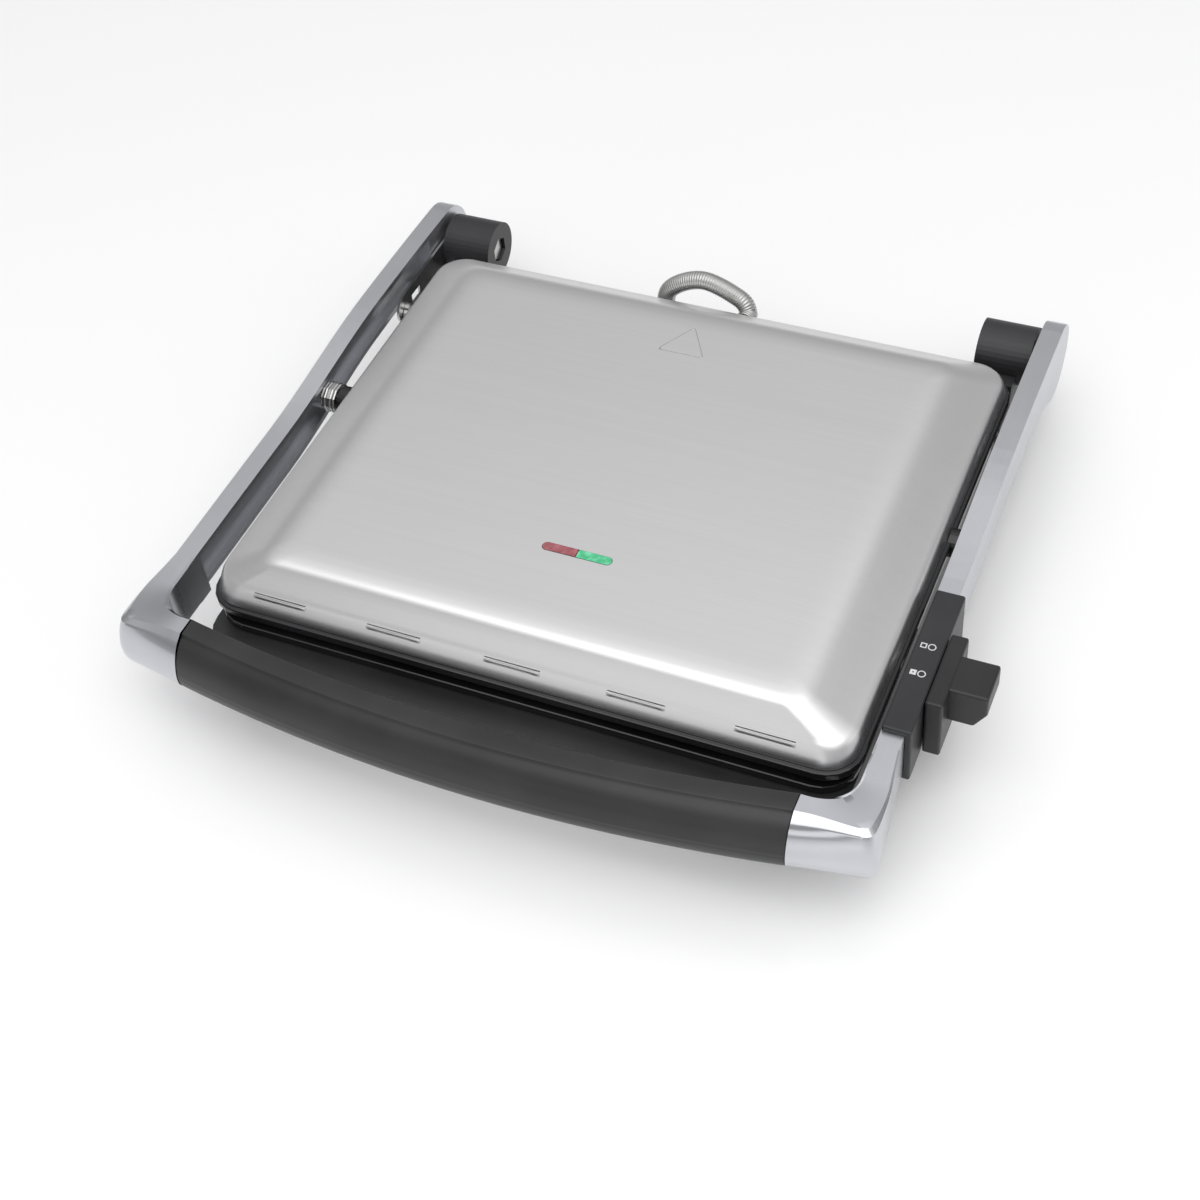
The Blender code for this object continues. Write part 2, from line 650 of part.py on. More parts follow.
def hinge_towers():
    """Each tower carries a hinge barrel behind a rear corner of the base."""
    for side, sign in sides():
        outer = BARREL_OUTER_X
        inner = outer - BARREL_LENGTH
        start = (sign * inner, HINGE_Y, HINGE_Z)
        end = (sign * outer, HINGE_Y, HINGE_Z)
        tower = cylinder(f"hinge_tower_{side}", BARREL_RADIUS, start, end, 40)
        foot_outer = outer - TOWER_FOOT_INSET
        low_x, high_x = sorted((sign * (foot_outer - TOWER_FOOT_LENGTH), sign * foot_outer))
        web_low_x, web_high_x = sorted((sign * (inner + TOWER_WEB_INNER),
                                         sign * (outer - TOWER_WEB_OUTER)))
        foot = box(f"tower_foot_{side}", (low_x, BASE_BACK_Y + GAP, BASE_BOTTOM_Z + TOWER_FOOT_RISE),
                   (high_x, HINGE_Y - TOWER_FOOT_BACK, HINGE_Z - TOWER_FOOT_DROP))
        web = box(f"tower_web_{side}",
                  (web_low_x, BASE_BACK_Y + TOWER_WEB_FRONT, BASE_BOTTOM_Z + TOWER_WEB_RISE),
                  (web_high_x, HINGE_Y + TOWER_WEB_BACK, HINGE_Z - TOWER_WEB_DROP))
        combine(tower, foot, BASE, "UNION")
        combine(tower, web, BASE, "UNION")
        bore = cylinder(f"tower_bore_{side}", PIN_RADIUS + BORE_GAP,
                        (sign * (inner - CUT), HINGE_Y, HINGE_Z),
                        (sign * (outer + CUT), HINGE_Y, HINGE_Z), 32)
        combine(tower, bore, BASE)
        head = cylinder(f"tower_head_hole_{side}", PIN_HEAD_RADIUS + BORE_GAP,
                        (sign * (inner - CUT), HINGE_Y, HINGE_Z),
                        (sign * (inner + PIN_HEAD_DEPTH + GAP), HINGE_Y, HINGE_Z), 6)
        combine(tower, head, BASE)
        add_part(tower, HINGE_BLACK, BASE)


def hinge_pins():
    for side, sign in sides():
        inner = BARREL_OUTER_X - BARREL_LENGTH
        pin = cylinder(f"hinge_pin_{side}", PIN_RADIUS, (sign * (inner + PIN_INSET), HINGE_Y, HINGE_Z),
                       (sign * (ARM_OUTER_X - ARM_WEB - GAP), HINGE_Y, HINGE_Z), 32)
        head = cylinder(f"pin_head_{side}", PIN_HEAD_RADIUS - GAP,
                        (sign * (inner + PIN_HEAD_INSET), HINGE_Y, HINGE_Z),
                        (sign * (inner + PIN_HEAD_DEPTH), HINGE_Y, HINGE_Z), 6)
        combine(pin, head, BASE, "UNION")
        add_part(pin, STEEL, BASE)


def hinge_brackets():
    """A flat strip ties each hinge pin to a stud on the side of the base."""
    front = (HINGE_Y - BRACKET_LENGTH, HINGE_Z)
    outline = arc((HINGE_Y, HINGE_Z), BRACKET_HALF_WIDTH, -90, 90, 10)
    outline += arc(front, BRACKET_HALF_WIDTH, 90, 270, 10)
    for side, sign in sides():
        inner = BRACKET_INNER_X
        outer = inner + BRACKET_THICKNESS
        low_x, high_x = sorted((sign * inner, sign * outer))
        strip = prism(f"hinge_bracket_{side}", outline, "X", low_x, high_x)
        for place_name, y, radius in (("rear", HINGE_Y, PIN_RADIUS), ("front", front[0], STUD_NECK_RADIUS)):
            hole = cylinder(f"bracket_hole_{place_name}_{side}", radius + BORE_GAP,
                            (low_x - CUT, y, HINGE_Z), (high_x + CUT, y, HINGE_Z), 24)
            combine(strip, hole, BASE)
        slot_y = front[0] + BRACKET_SLOT_START
        slot = box(f"bracket_slot_{side}", (low_x - CUT, slot_y, HINGE_Z - BRACKET_SLOT_HEIGHT / 2),
                   (high_x + CUT, slot_y + BRACKET_SLOT_LENGTH, HINGE_Z + BRACKET_SLOT_HEIGHT / 2))
        combine(strip, slot, BASE)
        add_part(strip, STEEL, BASE)
        stud_start = sign * (BASE_HALF_WIDTH + GAP) + BODY_X
        stud = cylinder(f"bracket_stud_{side}", STUD_RADIUS, (stud_start, front[0], HINGE_Z - STUD_DROP),
                        (sign * (inner - GAP), front[0], HINGE_Z - STUD_DROP), 24)
        neck = cylinder(f"stud_neck_{side}", STUD_NECK_RADIUS, (sign * (inner - OVERLAP), front[0], HINGE_Z),
                        (sign * (outer + GAP), front[0], HINGE_Z), 24)
        combine(stud, neck, BASE, "UNION")
        add_part(stud, STEEL, BASE)


def cord_gland():
    """Flanged rubber sleeve that the supply cord passes through."""
    start = BASE_BACK_Y + GAP
    gland = cylinder("cord_gland", GLAND_RADIUS, (GLAND_X, start, GLAND_Z),
                     (GLAND_X, start + GLAND_FLANGE, GLAND_Z), 24)
    sleeve = cylinder("gland_sleeve", GLAND_SLEEVE_RADIUS, (GLAND_X, start - GLAND_DEPTH, GLAND_Z),
                      (GLAND_X, start + GLAND_LENGTH, GLAND_Z), 24)
    combine(gland, sleeve, BODY, "UNION")
    bore = cylinder("gland_bore", GLAND_BORE_RADIUS, (GLAND_X, start - CUT, GLAND_Z),
                    (GLAND_X, start + GLAND_LENGTH + CUT, GLAND_Z), 24)
    combine(gland, bore, BODY)
    add_part(gland, RUBBER, BODY)


def conduit_socket():
    half = CONDUIT_RADIUS + SOCKET_WALL
    socket = box("conduit_socket", (CONDUIT_BASE_X - half, BASE_BACK_Y + GAP, BASE_BOTTOM_Z + SOCKET_RISE),
                 (CONDUIT_BASE_X + half, CONDUIT_REAR_Y + half, SOCKET_TOP_Z))
    round_edges(socket, SOCKET_EDGE)
    bore = cylinder("socket_bore", CONDUIT_RADIUS + BORE_GAP,
                    (CONDUIT_BASE_X, CONDUIT_REAR_Y, SOCKET_TOP_Z - SOCKET_DEPTH),
                    (CONDUIT_BASE_X, CONDUIT_REAR_Y, SOCKET_TOP_Z + CUT), 24)
    combine(socket, bore, BODY)
    add_part(socket, HINGE_BLACK, BODY)


def conduit_route(steps):
    """The hose rises from its socket on the base and curls over into the back of the lid."""
    base = Vector((CONDUIT_BASE_X, CONDUIT_REAR_Y, SOCKET_TOP_Z))
    over_base = Vector((CONDUIT_BASE_X, CONDUIT_REAR_Y, CONDUIT_CREST_Z))
    over_lid = Vector((CONDUIT_LID_X, CONDUIT_REAR_Y, CONDUIT_CREST_Z))
    end = Vector((CONDUIT_LID_X, FRAME_BACK_Y + GAP, CONDUIT_LID_Z))
    knots = [base + CONDUIT_FOOT, base + CONDUIT_RISE, over_base + CONDUIT_SHOULDER,
             (over_base + over_lid) / 2 + CONDUIT_CREST, over_lid + CONDUIT_FALL,
             end + CONDUIT_TURN, end + CONDUIT_ENTRY]
    points = []
    for index in range(len(knots) - 1):
        before = knots[max(index - 1, 0)]
        start = knots[index]
        finish = knots[index + 1]
        after = knots[min(index + 2, len(knots) - 1)]
        for step in range(steps):
            points.append(catmull_rom(before, start, finish, after, step / steps))
    return points + [knots[-1], end]


def catmull_rom(before, start, end, after, t):
    return 0.5 * (2 * start + (end - before) * t + (2 * before - 5 * start + 4 * end - after) * t * t
                  + (3 * start - before - 3 * end + after) * t ** 3)


def conduits():
    """The hose is split square across its middle, so that each half can follow its own end."""
    route = conduit_route(CONDUIT_STEPS)
    middle = len(route) // 2
    along = (route[middle + 1] - route[middle - 1]).normalized()
    split = route[middle]
    lower = route[:middle] + [split - along * CONDUIT_SQUARE_END, split - along * GAP / 2]
    upper = [split + along * GAP / 2, split + along * CONDUIT_SQUARE_END] + route[middle + 1:]
    add_part(tube("conduit_lower", lower, CONDUIT_RADIUS, 3), HOSE, BODY)
    add_part(tube("conduit_upper", upper, CONDUIT_RADIUS, 3), HOSE, LID)


# ---------------------------------------------------------------- handle frame

def arm_top(y):
    crest = ARM_TOP_Z + ARM_ARCH_TOP
    if y < ARM_ARCH_CREST_Y:
        rise = smooth((y - ARM_ARCH_START_Y) / (ARM_ARCH_CREST_Y - ARM_ARCH_START_Y))
        return ARM_TOP_Z + ARM_ARCH_TOP * rise
    fall = (y - ARM_ARCH_CREST_Y) / (HINGE_Y - ARM_ARCH_CREST_Y)
    return crest + (HINGE_Z + EYE_RADIUS - crest) * fall * fall


def arm_bottom(y):
    rise = smooth((y - ARM_ARCH_START_Y) / (ARM_ARCH_CREST_Y - ARM_ARCH_START_Y))
    drop = smooth((y - ARM_DROP_START_Y) / (HINGE_Y - ARM_DROP_START_Y))
    crest = ARM_BOTTOM_Z + ARM_ARCH_BOTTOM * rise
    return crest + (HINGE_Z - EYE_RADIUS - crest) * drop


def arm_stations(front, rear):
    """Places along an arm; the front part is straight, so it needs no points between."""
    count = 18
    curved = [ARM_ARCH_START_Y + (HINGE_Y - ARM_ARCH_START_Y) * step / count for step in range(count + 1)]
    return [front] + [y for y in curved if y < rear - 0.002] + [rear]


def arm_outline(inset=0.0, rear=None, front=ARM_FRONT_Y):
    """Side view of an arm in Y, Z; an inset outline stops at rear instead of rounding the eye."""
    stations = arm_stations(front, HINGE_Y if rear is None else rear)
    points = [(y, arm_bottom(y) + inset) for y in stations]
    if rear is None:
        points += arc((HINGE_Y, HINGE_Z), EYE_RADIUS - inset, -78, 78, 12)
    points += [(y, arm_top(y) - inset) for y in reversed(stations)]
    return points


def corner_section(blend, reach, margin):
    """Section across the frame, from the D of the grip to the plain bar of the arm."""
    points = []
    for (grip_u, grip_v), (bar_u, bar_v) in zip(GRIP_SECTION, BAR_SECTION):
        u = (grip_u + (bar_u - grip_u) * blend) * reach
        low = GRIP_BOTTOM_Z + (ARM_BOTTOM_Z - GRIP_BOTTOM_Z) * blend - margin
        high = GRIP_BOTTOM_Z + GRIP_HEIGHT + (ARM_TOP_Z - GRIP_BOTTOM_Z - GRIP_HEIGHT) * blend + margin
        v = low + (high - low) * (grip_v + (bar_v - grip_v) * blend)
        points.append((u, v))
    return points


def corner_reach(angle):
    """Distance from the middle of the inner fillet to the outer edge of the corner."""
    across = math.cos(angle)
    along = math.sin(angle)
    front = (GRIP_BACK_Y - GRIP_DEPTH - CORNER_CENTRE_Y + CORNER_FRONT_SLOPE * (CORNER_CENTRE_X - GRIP_END_X))
    to_front = front / (along - CORNER_FRONT_SLOPE * across)
    side = CORNER_OUTER_X - CORNER_CENTRE_X - CORNER_SIDE_SLOPE * (CORNER_CENTRE_Y - CORNER_OUTER_Y)
    facing = across + CORNER_SIDE_SLOPE * along
    to_side = side / facing if facing > 0.05 else 1
    return (to_front ** -CORNER_SHARPNESS + to_side ** -CORNER_SHARPNESS) ** (-1 / CORNER_SHARPNESS)


def corner_casting(name, sign):
    """Loft from the end of the grip round the corner to the front of the arm."""
    steps = 14
    rings = [[(GRIP_END_X + GAP, GRIP_BACK_Y - u, v) for u, v in corner_section(0, GRIP_DEPTH, 0)]]
    for step in range(steps + 1):
        turn = step / steps
        angle = math.radians(-90 + 90 * turn)
        normal = Vector((math.cos(angle), math.sin(angle)))
        inner = Vector((CORNER_CENTRE_X, CORNER_CENTRE_Y)) + CORNER_INNER_RADIUS * normal
        section = corner_section(smooth(turn), corner_reach(angle) - CORNER_INNER_RADIUS, 0.0003)
        rings.append([(*(inner + normal * u), v) for u, v in section])
    for y in (CORNER_CENTRE_Y + 0.010, ARM_FRONT_Y + 0.006):
        outer = CORNER_OUTER_X - CORNER_SIDE_SLOPE * (y - CORNER_OUTER_Y)
        section = corner_section(1, max(outer, ARM_OUTER_X + 0.0003) - ARM_INNER_X, 0.0003)
        rings.append([(ARM_INNER_X + u, y, v) for u, v in section])
    return loft(name, [[(sign * x, y, z) for x, y, z in points] for points in rings])


def loft(name, rings):
    def build(shape):
        loops = [[shape.verts.new(point) for point in points] for points in rings]
        for first, second in zip(loops, loops[1:]):
            for index in range(len(first)):
                following = (index + 1) % len(first)
                shape.faces.new((first[index], first[following], second[following], second[index]))
        shape.faces.new(loops[0])
        shape.faces.new(loops[-1])

    return mesh_object(name, build)


def arms():
    for side, sign in sides():
        low_x, high_x = sorted((sign * ARM_INNER_X, sign * ARM_OUTER_X))
        arm = prism(f"arm_{side}", arm_outline(), "X", low_x, high_x)
        pocket_x = sorted((sign * (ARM_INNER_X - 0.002), sign * (ARM_OUTER_X - ARM_WEB)))
        pocket_rear = HINGE_Y - POCKET_REAR_MARGIN
        pocket = prism(f"arm_pocket_{side}", arm_outline(ARM_WALL, pocket_rear,
                       ARM_FRONT_Y + POCKET_FRONT_MARGIN),
                       "X", *pocket_x)
        combine(arm, pocket, ARMS)
        trim = arm_lower_trim(side, sign, pocket_rear)
        combine(arm, trim, ARMS)
        combine(arm, corner_casting(f"arm_corner_{side}", sign), ARMS, "UNION", "MANIFOLD")
        boss = cylinder(f"arm_boss_{side}", PIVOT_BOSS_RADIUS, (sign * ARM_BOSS_END_X, PIVOT_Y, PIVOT_Z),
                        (sign * (ARM_OUTER_X - ARM_WEB / 2), PIVOT_Y, PIVOT_Z), 24)
        combine(arm, boss, ARMS, "UNION", "MANIFOLD")
        pivot_hole = cylinder(f"arm_pivot_hole_{side}", PIVOT_RADIUS + BORE_GAP,
                              (sign * (ARM_BOSS_END_X - CUT), PIVOT_Y, PIVOT_Z),
                              (sign * (ARM_OUTER_X - ARM_WEB + GAP), PIVOT_Y, PIVOT_Z), 24)
        combine(arm, pivot_hole, ARMS, solver="MANIFOLD")
        eye_hole = cylinder(f"arm_eye_hole_{side}", PIN_RADIUS + BORE_GAP,
                            (sign * (ARM_INNER_X - CUT), HINGE_Y, HINGE_Z),
                            (sign * (ARM_OUTER_X - ARM_WEB), HINGE_Y, HINGE_Z), 32)
        combine(arm, eye_hole, ARMS, solver="MANIFOLD")
        core = cylinder(f"arm_core_hole_{side}", GRIP_BORE_RADIUS + BORE_GAP,
                        (sign * (GRIP_END_X - CUT), *core_end()),
                        (sign * (GRIP_END_X + CORE_OVERLAP), *core_end()), 24)
        combine(arm, core, ARMS, solver="MANIFOLD")
        if sign > 0:
            combine(arm, tenon_slot("arm_tenon_slot"), ARMS, solver="MANIFOLD")
        add_part(arm, CAST, ARMS)


def arm_lower_trim(side, sign, rear):
    """The lower flange is narrower than the upper one."""
    stations = arm_stations(ARM_FRONT_Y + POCKET_FRONT_MARGIN, rear)
    outline = [(y, arm_bottom(y) - 0.01) for y in stations]
    outline += [(y, arm_bottom(y) + ARM_WALL + 0.001) for y in reversed(stations)]
    low_x, high_x = sorted((sign * (ARM_INNER_X - 0.002), sign * (ARM_OUTER_X - ARM_LOWER_FLANGE)))
    return prism(f"arm_lower_trim_{side}", outline, "X", low_x, high_x)


def core_end():
    return GRIP_BACK_Y - GRIP_DEPTH * 0.45, GRIP_BOTTOM_Z + GRIP_HEIGHT * 0.5


def grip_arc(offset, end_x, steps):
    """Points on the bow of the grip, from the left end to the right end."""
    points = []
    for step in range(steps + 1):
        x = end_x * (2 * step / steps - 1)
        bow = GRIP_BOW * (1 - (min(abs(x), GRIP_END_X) / GRIP_END_X) ** 2)
        points.append((x, GRIP_BACK_Y - bow - offset, GRIP_BOTTOM_Z))
    return points


def grip():
    """The D-shaped section swept along the bow."""
    rings = []
    for x, y, z in grip_arc(0, GRIP_END_X, 24):
        rings.append([(x, y - u * GRIP_DEPTH, z + v * GRIP_HEIGHT) for u, v in GRIP_SECTION])
    handle = loft("grip", rings)
    bore = to_mesh(tube("grip_bore", core_route(0.01), GRIP_BORE_RADIUS + BORE_GAP, 3))
    combine(handle, bore, ARMS)
    add_part(handle, GRIP_BLACK, ARMS)
    core = tube("handle_core", core_route(0), GRIP_BORE_RADIUS, 3)
    add_part(core, STEEL, ARMS)


def core_route(extra):
    y_end, z = core_end()
    reach = GRIP_END_X + CORE_OVERLAP - 2 * GAP + extra
    inside = [(x, y, z) for x, y, _ in grip_arc(GRIP_BACK_Y - y_end, GRIP_END_X, 16)]
    return [(-reach, y_end, z)] + inside + [(reach, y_end, z)]


# ---------------------------------------------------------------- lock

def lock_sleeve():
    """A clip over the top, outer side and bottom of the right arm."""
    low = (ARM_INNER_X, SLEEVE_FRONT_Y, ARM_BOTTOM_Z - GAP - SLEEVE_WALL)
    high = (SLEEVE_OUTER_X, SLEEVE_REAR_Y, ARM_TOP_Z + GAP + SLEEVE_WALL)
    sleeve = round_edges(box("lock_sleeve", low, high), SLEEVE_EDGE, 2)
    channel = box("sleeve_channel", (ARM_INNER_X - CUT, SLEEVE_FRONT_Y - CUT, ARM_BOTTOM_Z - GAP),
                  (ARM_OUTER_X + GAP, SLEEVE_REAR_Y + CUT, ARM_TOP_Z + GAP))
    combine(sleeve, channel, ARMS)
    combine(sleeve, tenon_slot("sleeve_tenon_slot"), ARMS)
    add_part(sleeve, HINGE_BLACK, ARMS)


def tenon_slot(name):
    """Slot that the tenon of the lever runs along, through sleeve and arm."""
    middle = (ARM_TOP_Z + ARM_BOTTOM_Z) / 2
    half_height = TENON_HEIGHT / 2 + SIDE_GAP
    return box(name, (ARM_OUTER_X - ARM_WEB - OVERLAP, LEVER_CENTRE_Y - TENON_LENGTH / 2 - SIDE_GAP,
                      middle - half_height),
               (SLEEVE_OUTER_X + CUT, LEVER_CENTRE_Y + TENON_LENGTH / 2 + LOCK_TRAVEL + SIDE_GAP,
                middle + half_height))


def lock_lever():
    front = LEVER_CENTRE_Y - LEVER_LENGTH / 2
    rear = LEVER_CENTRE_Y + LEVER_LENGTH / 2
    lever = round_edges(box("lock_lever", (LEVER_INNER_X, front, LEVER_BOTTOM_Z),
                            (LEVER_OUTER_X, rear, LEVER_TOP_Z)), LEVER_EDGE)
    paddle_front = LEVER_CENTRE_Y - PADDLE_LENGTH / 2
    root_x = LEVER_OUTER_X - OVERLAP
    top = LEVER_TOP_Z - PADDLE_STEP
    outline = [(root_x, top), (LEVER_TIP_X, top), (LEVER_TIP_X, LEVER_TOP_Z - PADDLE_SIDE_HEIGHT),
               (LEVER_TIP_X - PADDLE_SLANT, LEVER_TOP_Z - PADDLE_DROP), (root_x, LEVER_TOP_Z - PADDLE_DROP)]
    paddle = prism("lever_paddle", outline, "Z", paddle_front, paddle_front + PADDLE_LENGTH)
    paddle.rotation_euler = Euler((math.pi / 2, 0, 0))
    paddle.location = (0, LEVER_CENTRE_Y, 0)
    round_edges(paddle, LEVER_EDGE)
    combine(lever, paddle, LOCK, "UNION")
    middle = (ARM_TOP_Z + ARM_BOTTOM_Z) / 2
    tenon = box("lever_tenon",
                (ARM_OUTER_X - ARM_WEB, LEVER_CENTRE_Y - TENON_LENGTH / 2, middle - TENON_HEIGHT / 2),
                (LEVER_INNER_X + OVERLAP, LEVER_CENTRE_Y + TENON_LENGTH / 2, middle + TENON_HEIGHT / 2))
    combine(lever, tenon, LOCK, "UNION")
    add_part(lever, LOCK_BLACK, LOCK)


# ---------------------------------------------------------------- lid

def lid_cover():
    """Rings from the rim up over the facets, closed by a flat top, then thickened inward."""
    height = LID_TOP_Z - LID_RIM_Z

    def build(shape):
        loops = []
        for share, side, front, back, corner in COVER_LEVELS:
            outline = rounded_rectangle(LID_HALF_WIDTH - side, LID_FRONT_Y + front, LID_BACK_Y - back,
                                        LID_CORNER * corner)
            z = LID_RIM_Z + share * height
            loops.append([shape.verts.new((x, y, z)) for x, y in outline])
        for first, second in zip(loops, loops[1:]):
            for index in range(len(first)):
                following = (index + 1) % len(first)
                shape.faces.new((first[index], first[following], second[following], second[index]))
        shape.faces.new(loops[-1])

    cover = mesh_object("lid_cover", build)
    shell = cover.modifiers.new("sheet", "SOLIDIFY")
    shell.thickness = LID_SHEET
    shell.offset = -1
    shell.use_even_offset = True
    for number in range(VENT_COUNT):
        x = (number - (VENT_COUNT - 1) / 2) * VENT_PITCH
        vent = box(f"vent_{number + 1}", (x - VENT_LENGTH / 2, LID_FRONT_Y - CUT, VENT_Z - VENT_HEIGHT / 2),
                   (x + VENT_LENGTH / 2, LID_FRONT_Y + 2 * CUT, VENT_Z + VENT_HEIGHT / 2))
        combine(cover, vent, LID)
    window = prism("indicator_window", capsule(0), "Z", LID_TOP_Z - CUT, LID_TOP_Z + CUT)
    combine(cover, window, LID)
    add_part(cover, BRUSHED, LID)


def capsule(inset, first=True, second=True):
    """Outline of the indicator window; either end can be cut square at the middle."""
    radius = WINDOW_WIDTH / 2 - inset
    centre = WINDOW_LENGTH / 2 - WINDOW_WIDTH / 2
    points = []
    if second:
        points += arc((WINDOW_X + centre, WINDOW_Y), radius, -90, 90, 8)
    else:
        points += [(WINDOW_X - inset, WINDOW_Y - radius), (WINDOW_X - inset, WINDOW_Y + radius)]
    if first:
        points += arc((WINDOW_X - centre, WINDOW_Y), radius, 90, 270, 8)
    else:
        points += [(WINDOW_X + inset, WINDOW_Y + radius), (WINDOW_X + inset, WINDOW_Y - radius)]
    return points


def indicator_lenses():
    bottom = LID_TOP_Z - LENS_DEPTH
    top = LID_TOP_Z + LENS_RISE
    red = prism("indicator_red", capsule(GAP, True, False), "Z", bottom, top)
    green = prism("indicator_green", capsule(GAP, False, True), "Z", bottom, top)
    add_part(red, RED, LID)
    add_part(green, GREEN, LID)
    half = WINDOW_LENGTH / 2 + HOLDER_MARGIN
    holder = box("indicator_holder",
                 (WINDOW_X - half, WINDOW_Y - HOLDER_HALF_DEPTH, bottom - GAP - HOLDER_THICKNESS),
                 (WINDOW_X + half, WINDOW_Y + HOLDER_HALF_DEPTH, bottom - GAP))
    add_part(holder, CERAMIC, LID)


def lid_frame():
    outer = rounded_rectangle(FRAME_HALF_WIDTH, FRAME_FRONT_Y, FRAME_BACK_Y, LID_CORNER + FRAME_LIP)
    inner = rounded_rectangle(PLATE_HALF_WIDTH + GAP, PLATE_FRONT_Y - GAP, PLATE_BACK_Y + GAP, PLATE_CORNER)
    frame = round_edges(prism("lid_frame", outer, "Z", FRAME_BOTTOM_Z, FRAME_TOP_Z), FRAME_EDGE)
    combine(frame, prism("frame_hole", inner, "Z", FRAME_BOTTOM_Z - CUT, FRAME_TOP_Z + CUT), LID)
    for side, sign in sides():
        boss = cylinder(f"lid_boss_{side}", PIVOT_BOSS_RADIUS,
                        (sign * (BASE_HALF_WIDTH + SIDE_GAP), PIVOT_Y, PIVOT_Z),
                        (lid_boss_end(sign) - BODY_X, PIVOT_Y, PIVOT_Z), 24)
        combine(frame, boss, LID, "UNION")
    for side, sign in sides():
        hole = cylinder(f"lid_pivot_hole_{side}", PIVOT_RADIUS + BORE_GAP,
                        (sign * (BASE_HALF_WIDTH + PIN_BED), PIVOT_Y, PIVOT_Z),
                        (lid_boss_end(sign) - BODY_X + sign * CUT, PIVOT_Y, PIVOT_Z), 24)
        combine(frame, hole, LID)
    add_part(frame, GLOSS_BLACK, LID)


def lid_boss_end(sign):
    """The spring on the left and the bush on the right fill the gap between lid and arm."""
    return ARM_BOSS_END_X - BUSH_LENGTH if sign > 0 else SPRING_LENGTH - ARM_BOSS_END_X


def pivot_pins():
    for side, sign in sides():
        start = sign * (BASE_HALF_WIDTH + PIN_BED + GAP) + BODY_X
        pin = cylinder(f"pivot_pin_{side}", PIVOT_RADIUS, (start, PIVOT_Y, PIVOT_Z),
                       (sign * (ARM_OUTER_X - ARM_WEB), PIVOT_Y, PIVOT_Z), 24)
        add_part(pin, STEEL, ARMS)


def pivot_spring():
    """Torsion spring on the left pivot, between the lid and the arm."""
    start = lid_boss_end(-1) - SPRING_WIRE - GAP
    end = SPRING_WIRE + GAP - ARM_BOSS_END_X
    steps = int(SPRING_TURNS * SPRING_POINTS)
    points = []
    for step in range(steps + 1):
        angle = 2 * math.pi * step / SPRING_POINTS
        x = start + (end - start) * step / steps
        y = PIVOT_Y + SPRING_RADIUS * math.cos(angle)
        z = PIVOT_Z + SPRING_RADIUS * math.sin(angle)
        points.append((x, y, z))
    add_part(tube("pivot_spring_left", points, SPRING_WIRE), STEEL, ARMS)


def pivot_bush():
    """Plastic washer on the right pivot."""
    start = lid_boss_end(1)
    bush = cylinder("pivot_bush_right", PIVOT_BOSS_RADIUS, (start + GAP, PIVOT_Y, PIVOT_Z),
                    (ARM_BOSS_END_X - GAP, PIVOT_Y, PIVOT_Z), 24)
    bore = cylinder("bush_bore", PIVOT_RADIUS + BORE_GAP, (start - CUT, PIVOT_Y, PIVOT_Z),
                    (ARM_BOSS_END_X + CUT, PIVOT_Y, PIVOT_Z), 24)
    combine(bush, bore, ARMS)
    add_part(bush, HINGE_BLACK, ARMS)


base_housing()
base_bezel()
bottom_cover()
cover_screws()
feet()
LOWER_BACK = grill_plate("lower_grill_plate", True, BODY)
UPPER_BACK = grill_plate("upper_grill_plate", False, LID)
heating_element("lower_element", LOWER_BACK - GAP - ELEMENT_RADIUS, BODY)
heating_element("upper_element", UPPER_BACK + GAP + ELEMENT_RADIUS, LID)
heat_shield()
shield_posts()
thermostat("lower_thermostat", LOWER_BACK, 1, BODY)
thermostat("upper_thermostat", UPPER_BACK, -1, LID)
hinge_towers()
hinge_pins()
hinge_brackets()
cord_gland()
conduit_socket()
conduits()
arms()
grip()
lock_sleeve()
lock_lever()
lid_cover()
indicator_lenses()
lid_frame()
pivot_pins()
pivot_spring()
pivot_bush()
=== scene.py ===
"""Looks of the panini press: finishes, the pressed lid, the bowed grip, the ribbed hose and the studio."""
import math

import bmesh
import bpy
import numpy as np
from mathutils import Matrix, Vector
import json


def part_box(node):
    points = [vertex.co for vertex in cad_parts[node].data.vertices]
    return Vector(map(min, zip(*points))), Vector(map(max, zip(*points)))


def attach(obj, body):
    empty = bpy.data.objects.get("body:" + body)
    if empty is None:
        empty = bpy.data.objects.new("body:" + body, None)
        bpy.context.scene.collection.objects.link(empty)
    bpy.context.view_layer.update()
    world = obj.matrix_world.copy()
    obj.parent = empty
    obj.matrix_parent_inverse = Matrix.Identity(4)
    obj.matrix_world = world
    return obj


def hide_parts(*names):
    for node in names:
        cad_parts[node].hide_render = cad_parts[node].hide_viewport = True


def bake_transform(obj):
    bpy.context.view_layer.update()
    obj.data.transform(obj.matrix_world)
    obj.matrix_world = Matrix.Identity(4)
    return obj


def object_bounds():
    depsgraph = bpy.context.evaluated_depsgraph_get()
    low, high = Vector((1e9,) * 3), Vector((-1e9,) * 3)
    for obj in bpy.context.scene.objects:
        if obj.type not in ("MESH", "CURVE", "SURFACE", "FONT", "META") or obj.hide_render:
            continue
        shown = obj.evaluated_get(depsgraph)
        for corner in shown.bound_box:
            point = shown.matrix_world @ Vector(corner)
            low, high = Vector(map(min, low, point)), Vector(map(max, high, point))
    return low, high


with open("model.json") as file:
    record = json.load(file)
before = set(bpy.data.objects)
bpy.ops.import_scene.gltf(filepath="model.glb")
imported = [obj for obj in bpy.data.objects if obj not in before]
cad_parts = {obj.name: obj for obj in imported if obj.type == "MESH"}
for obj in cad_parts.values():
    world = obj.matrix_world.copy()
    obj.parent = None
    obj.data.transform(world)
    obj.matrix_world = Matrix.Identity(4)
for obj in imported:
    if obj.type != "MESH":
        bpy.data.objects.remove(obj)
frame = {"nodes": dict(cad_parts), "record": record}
CAD_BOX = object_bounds()

MM = 0.001


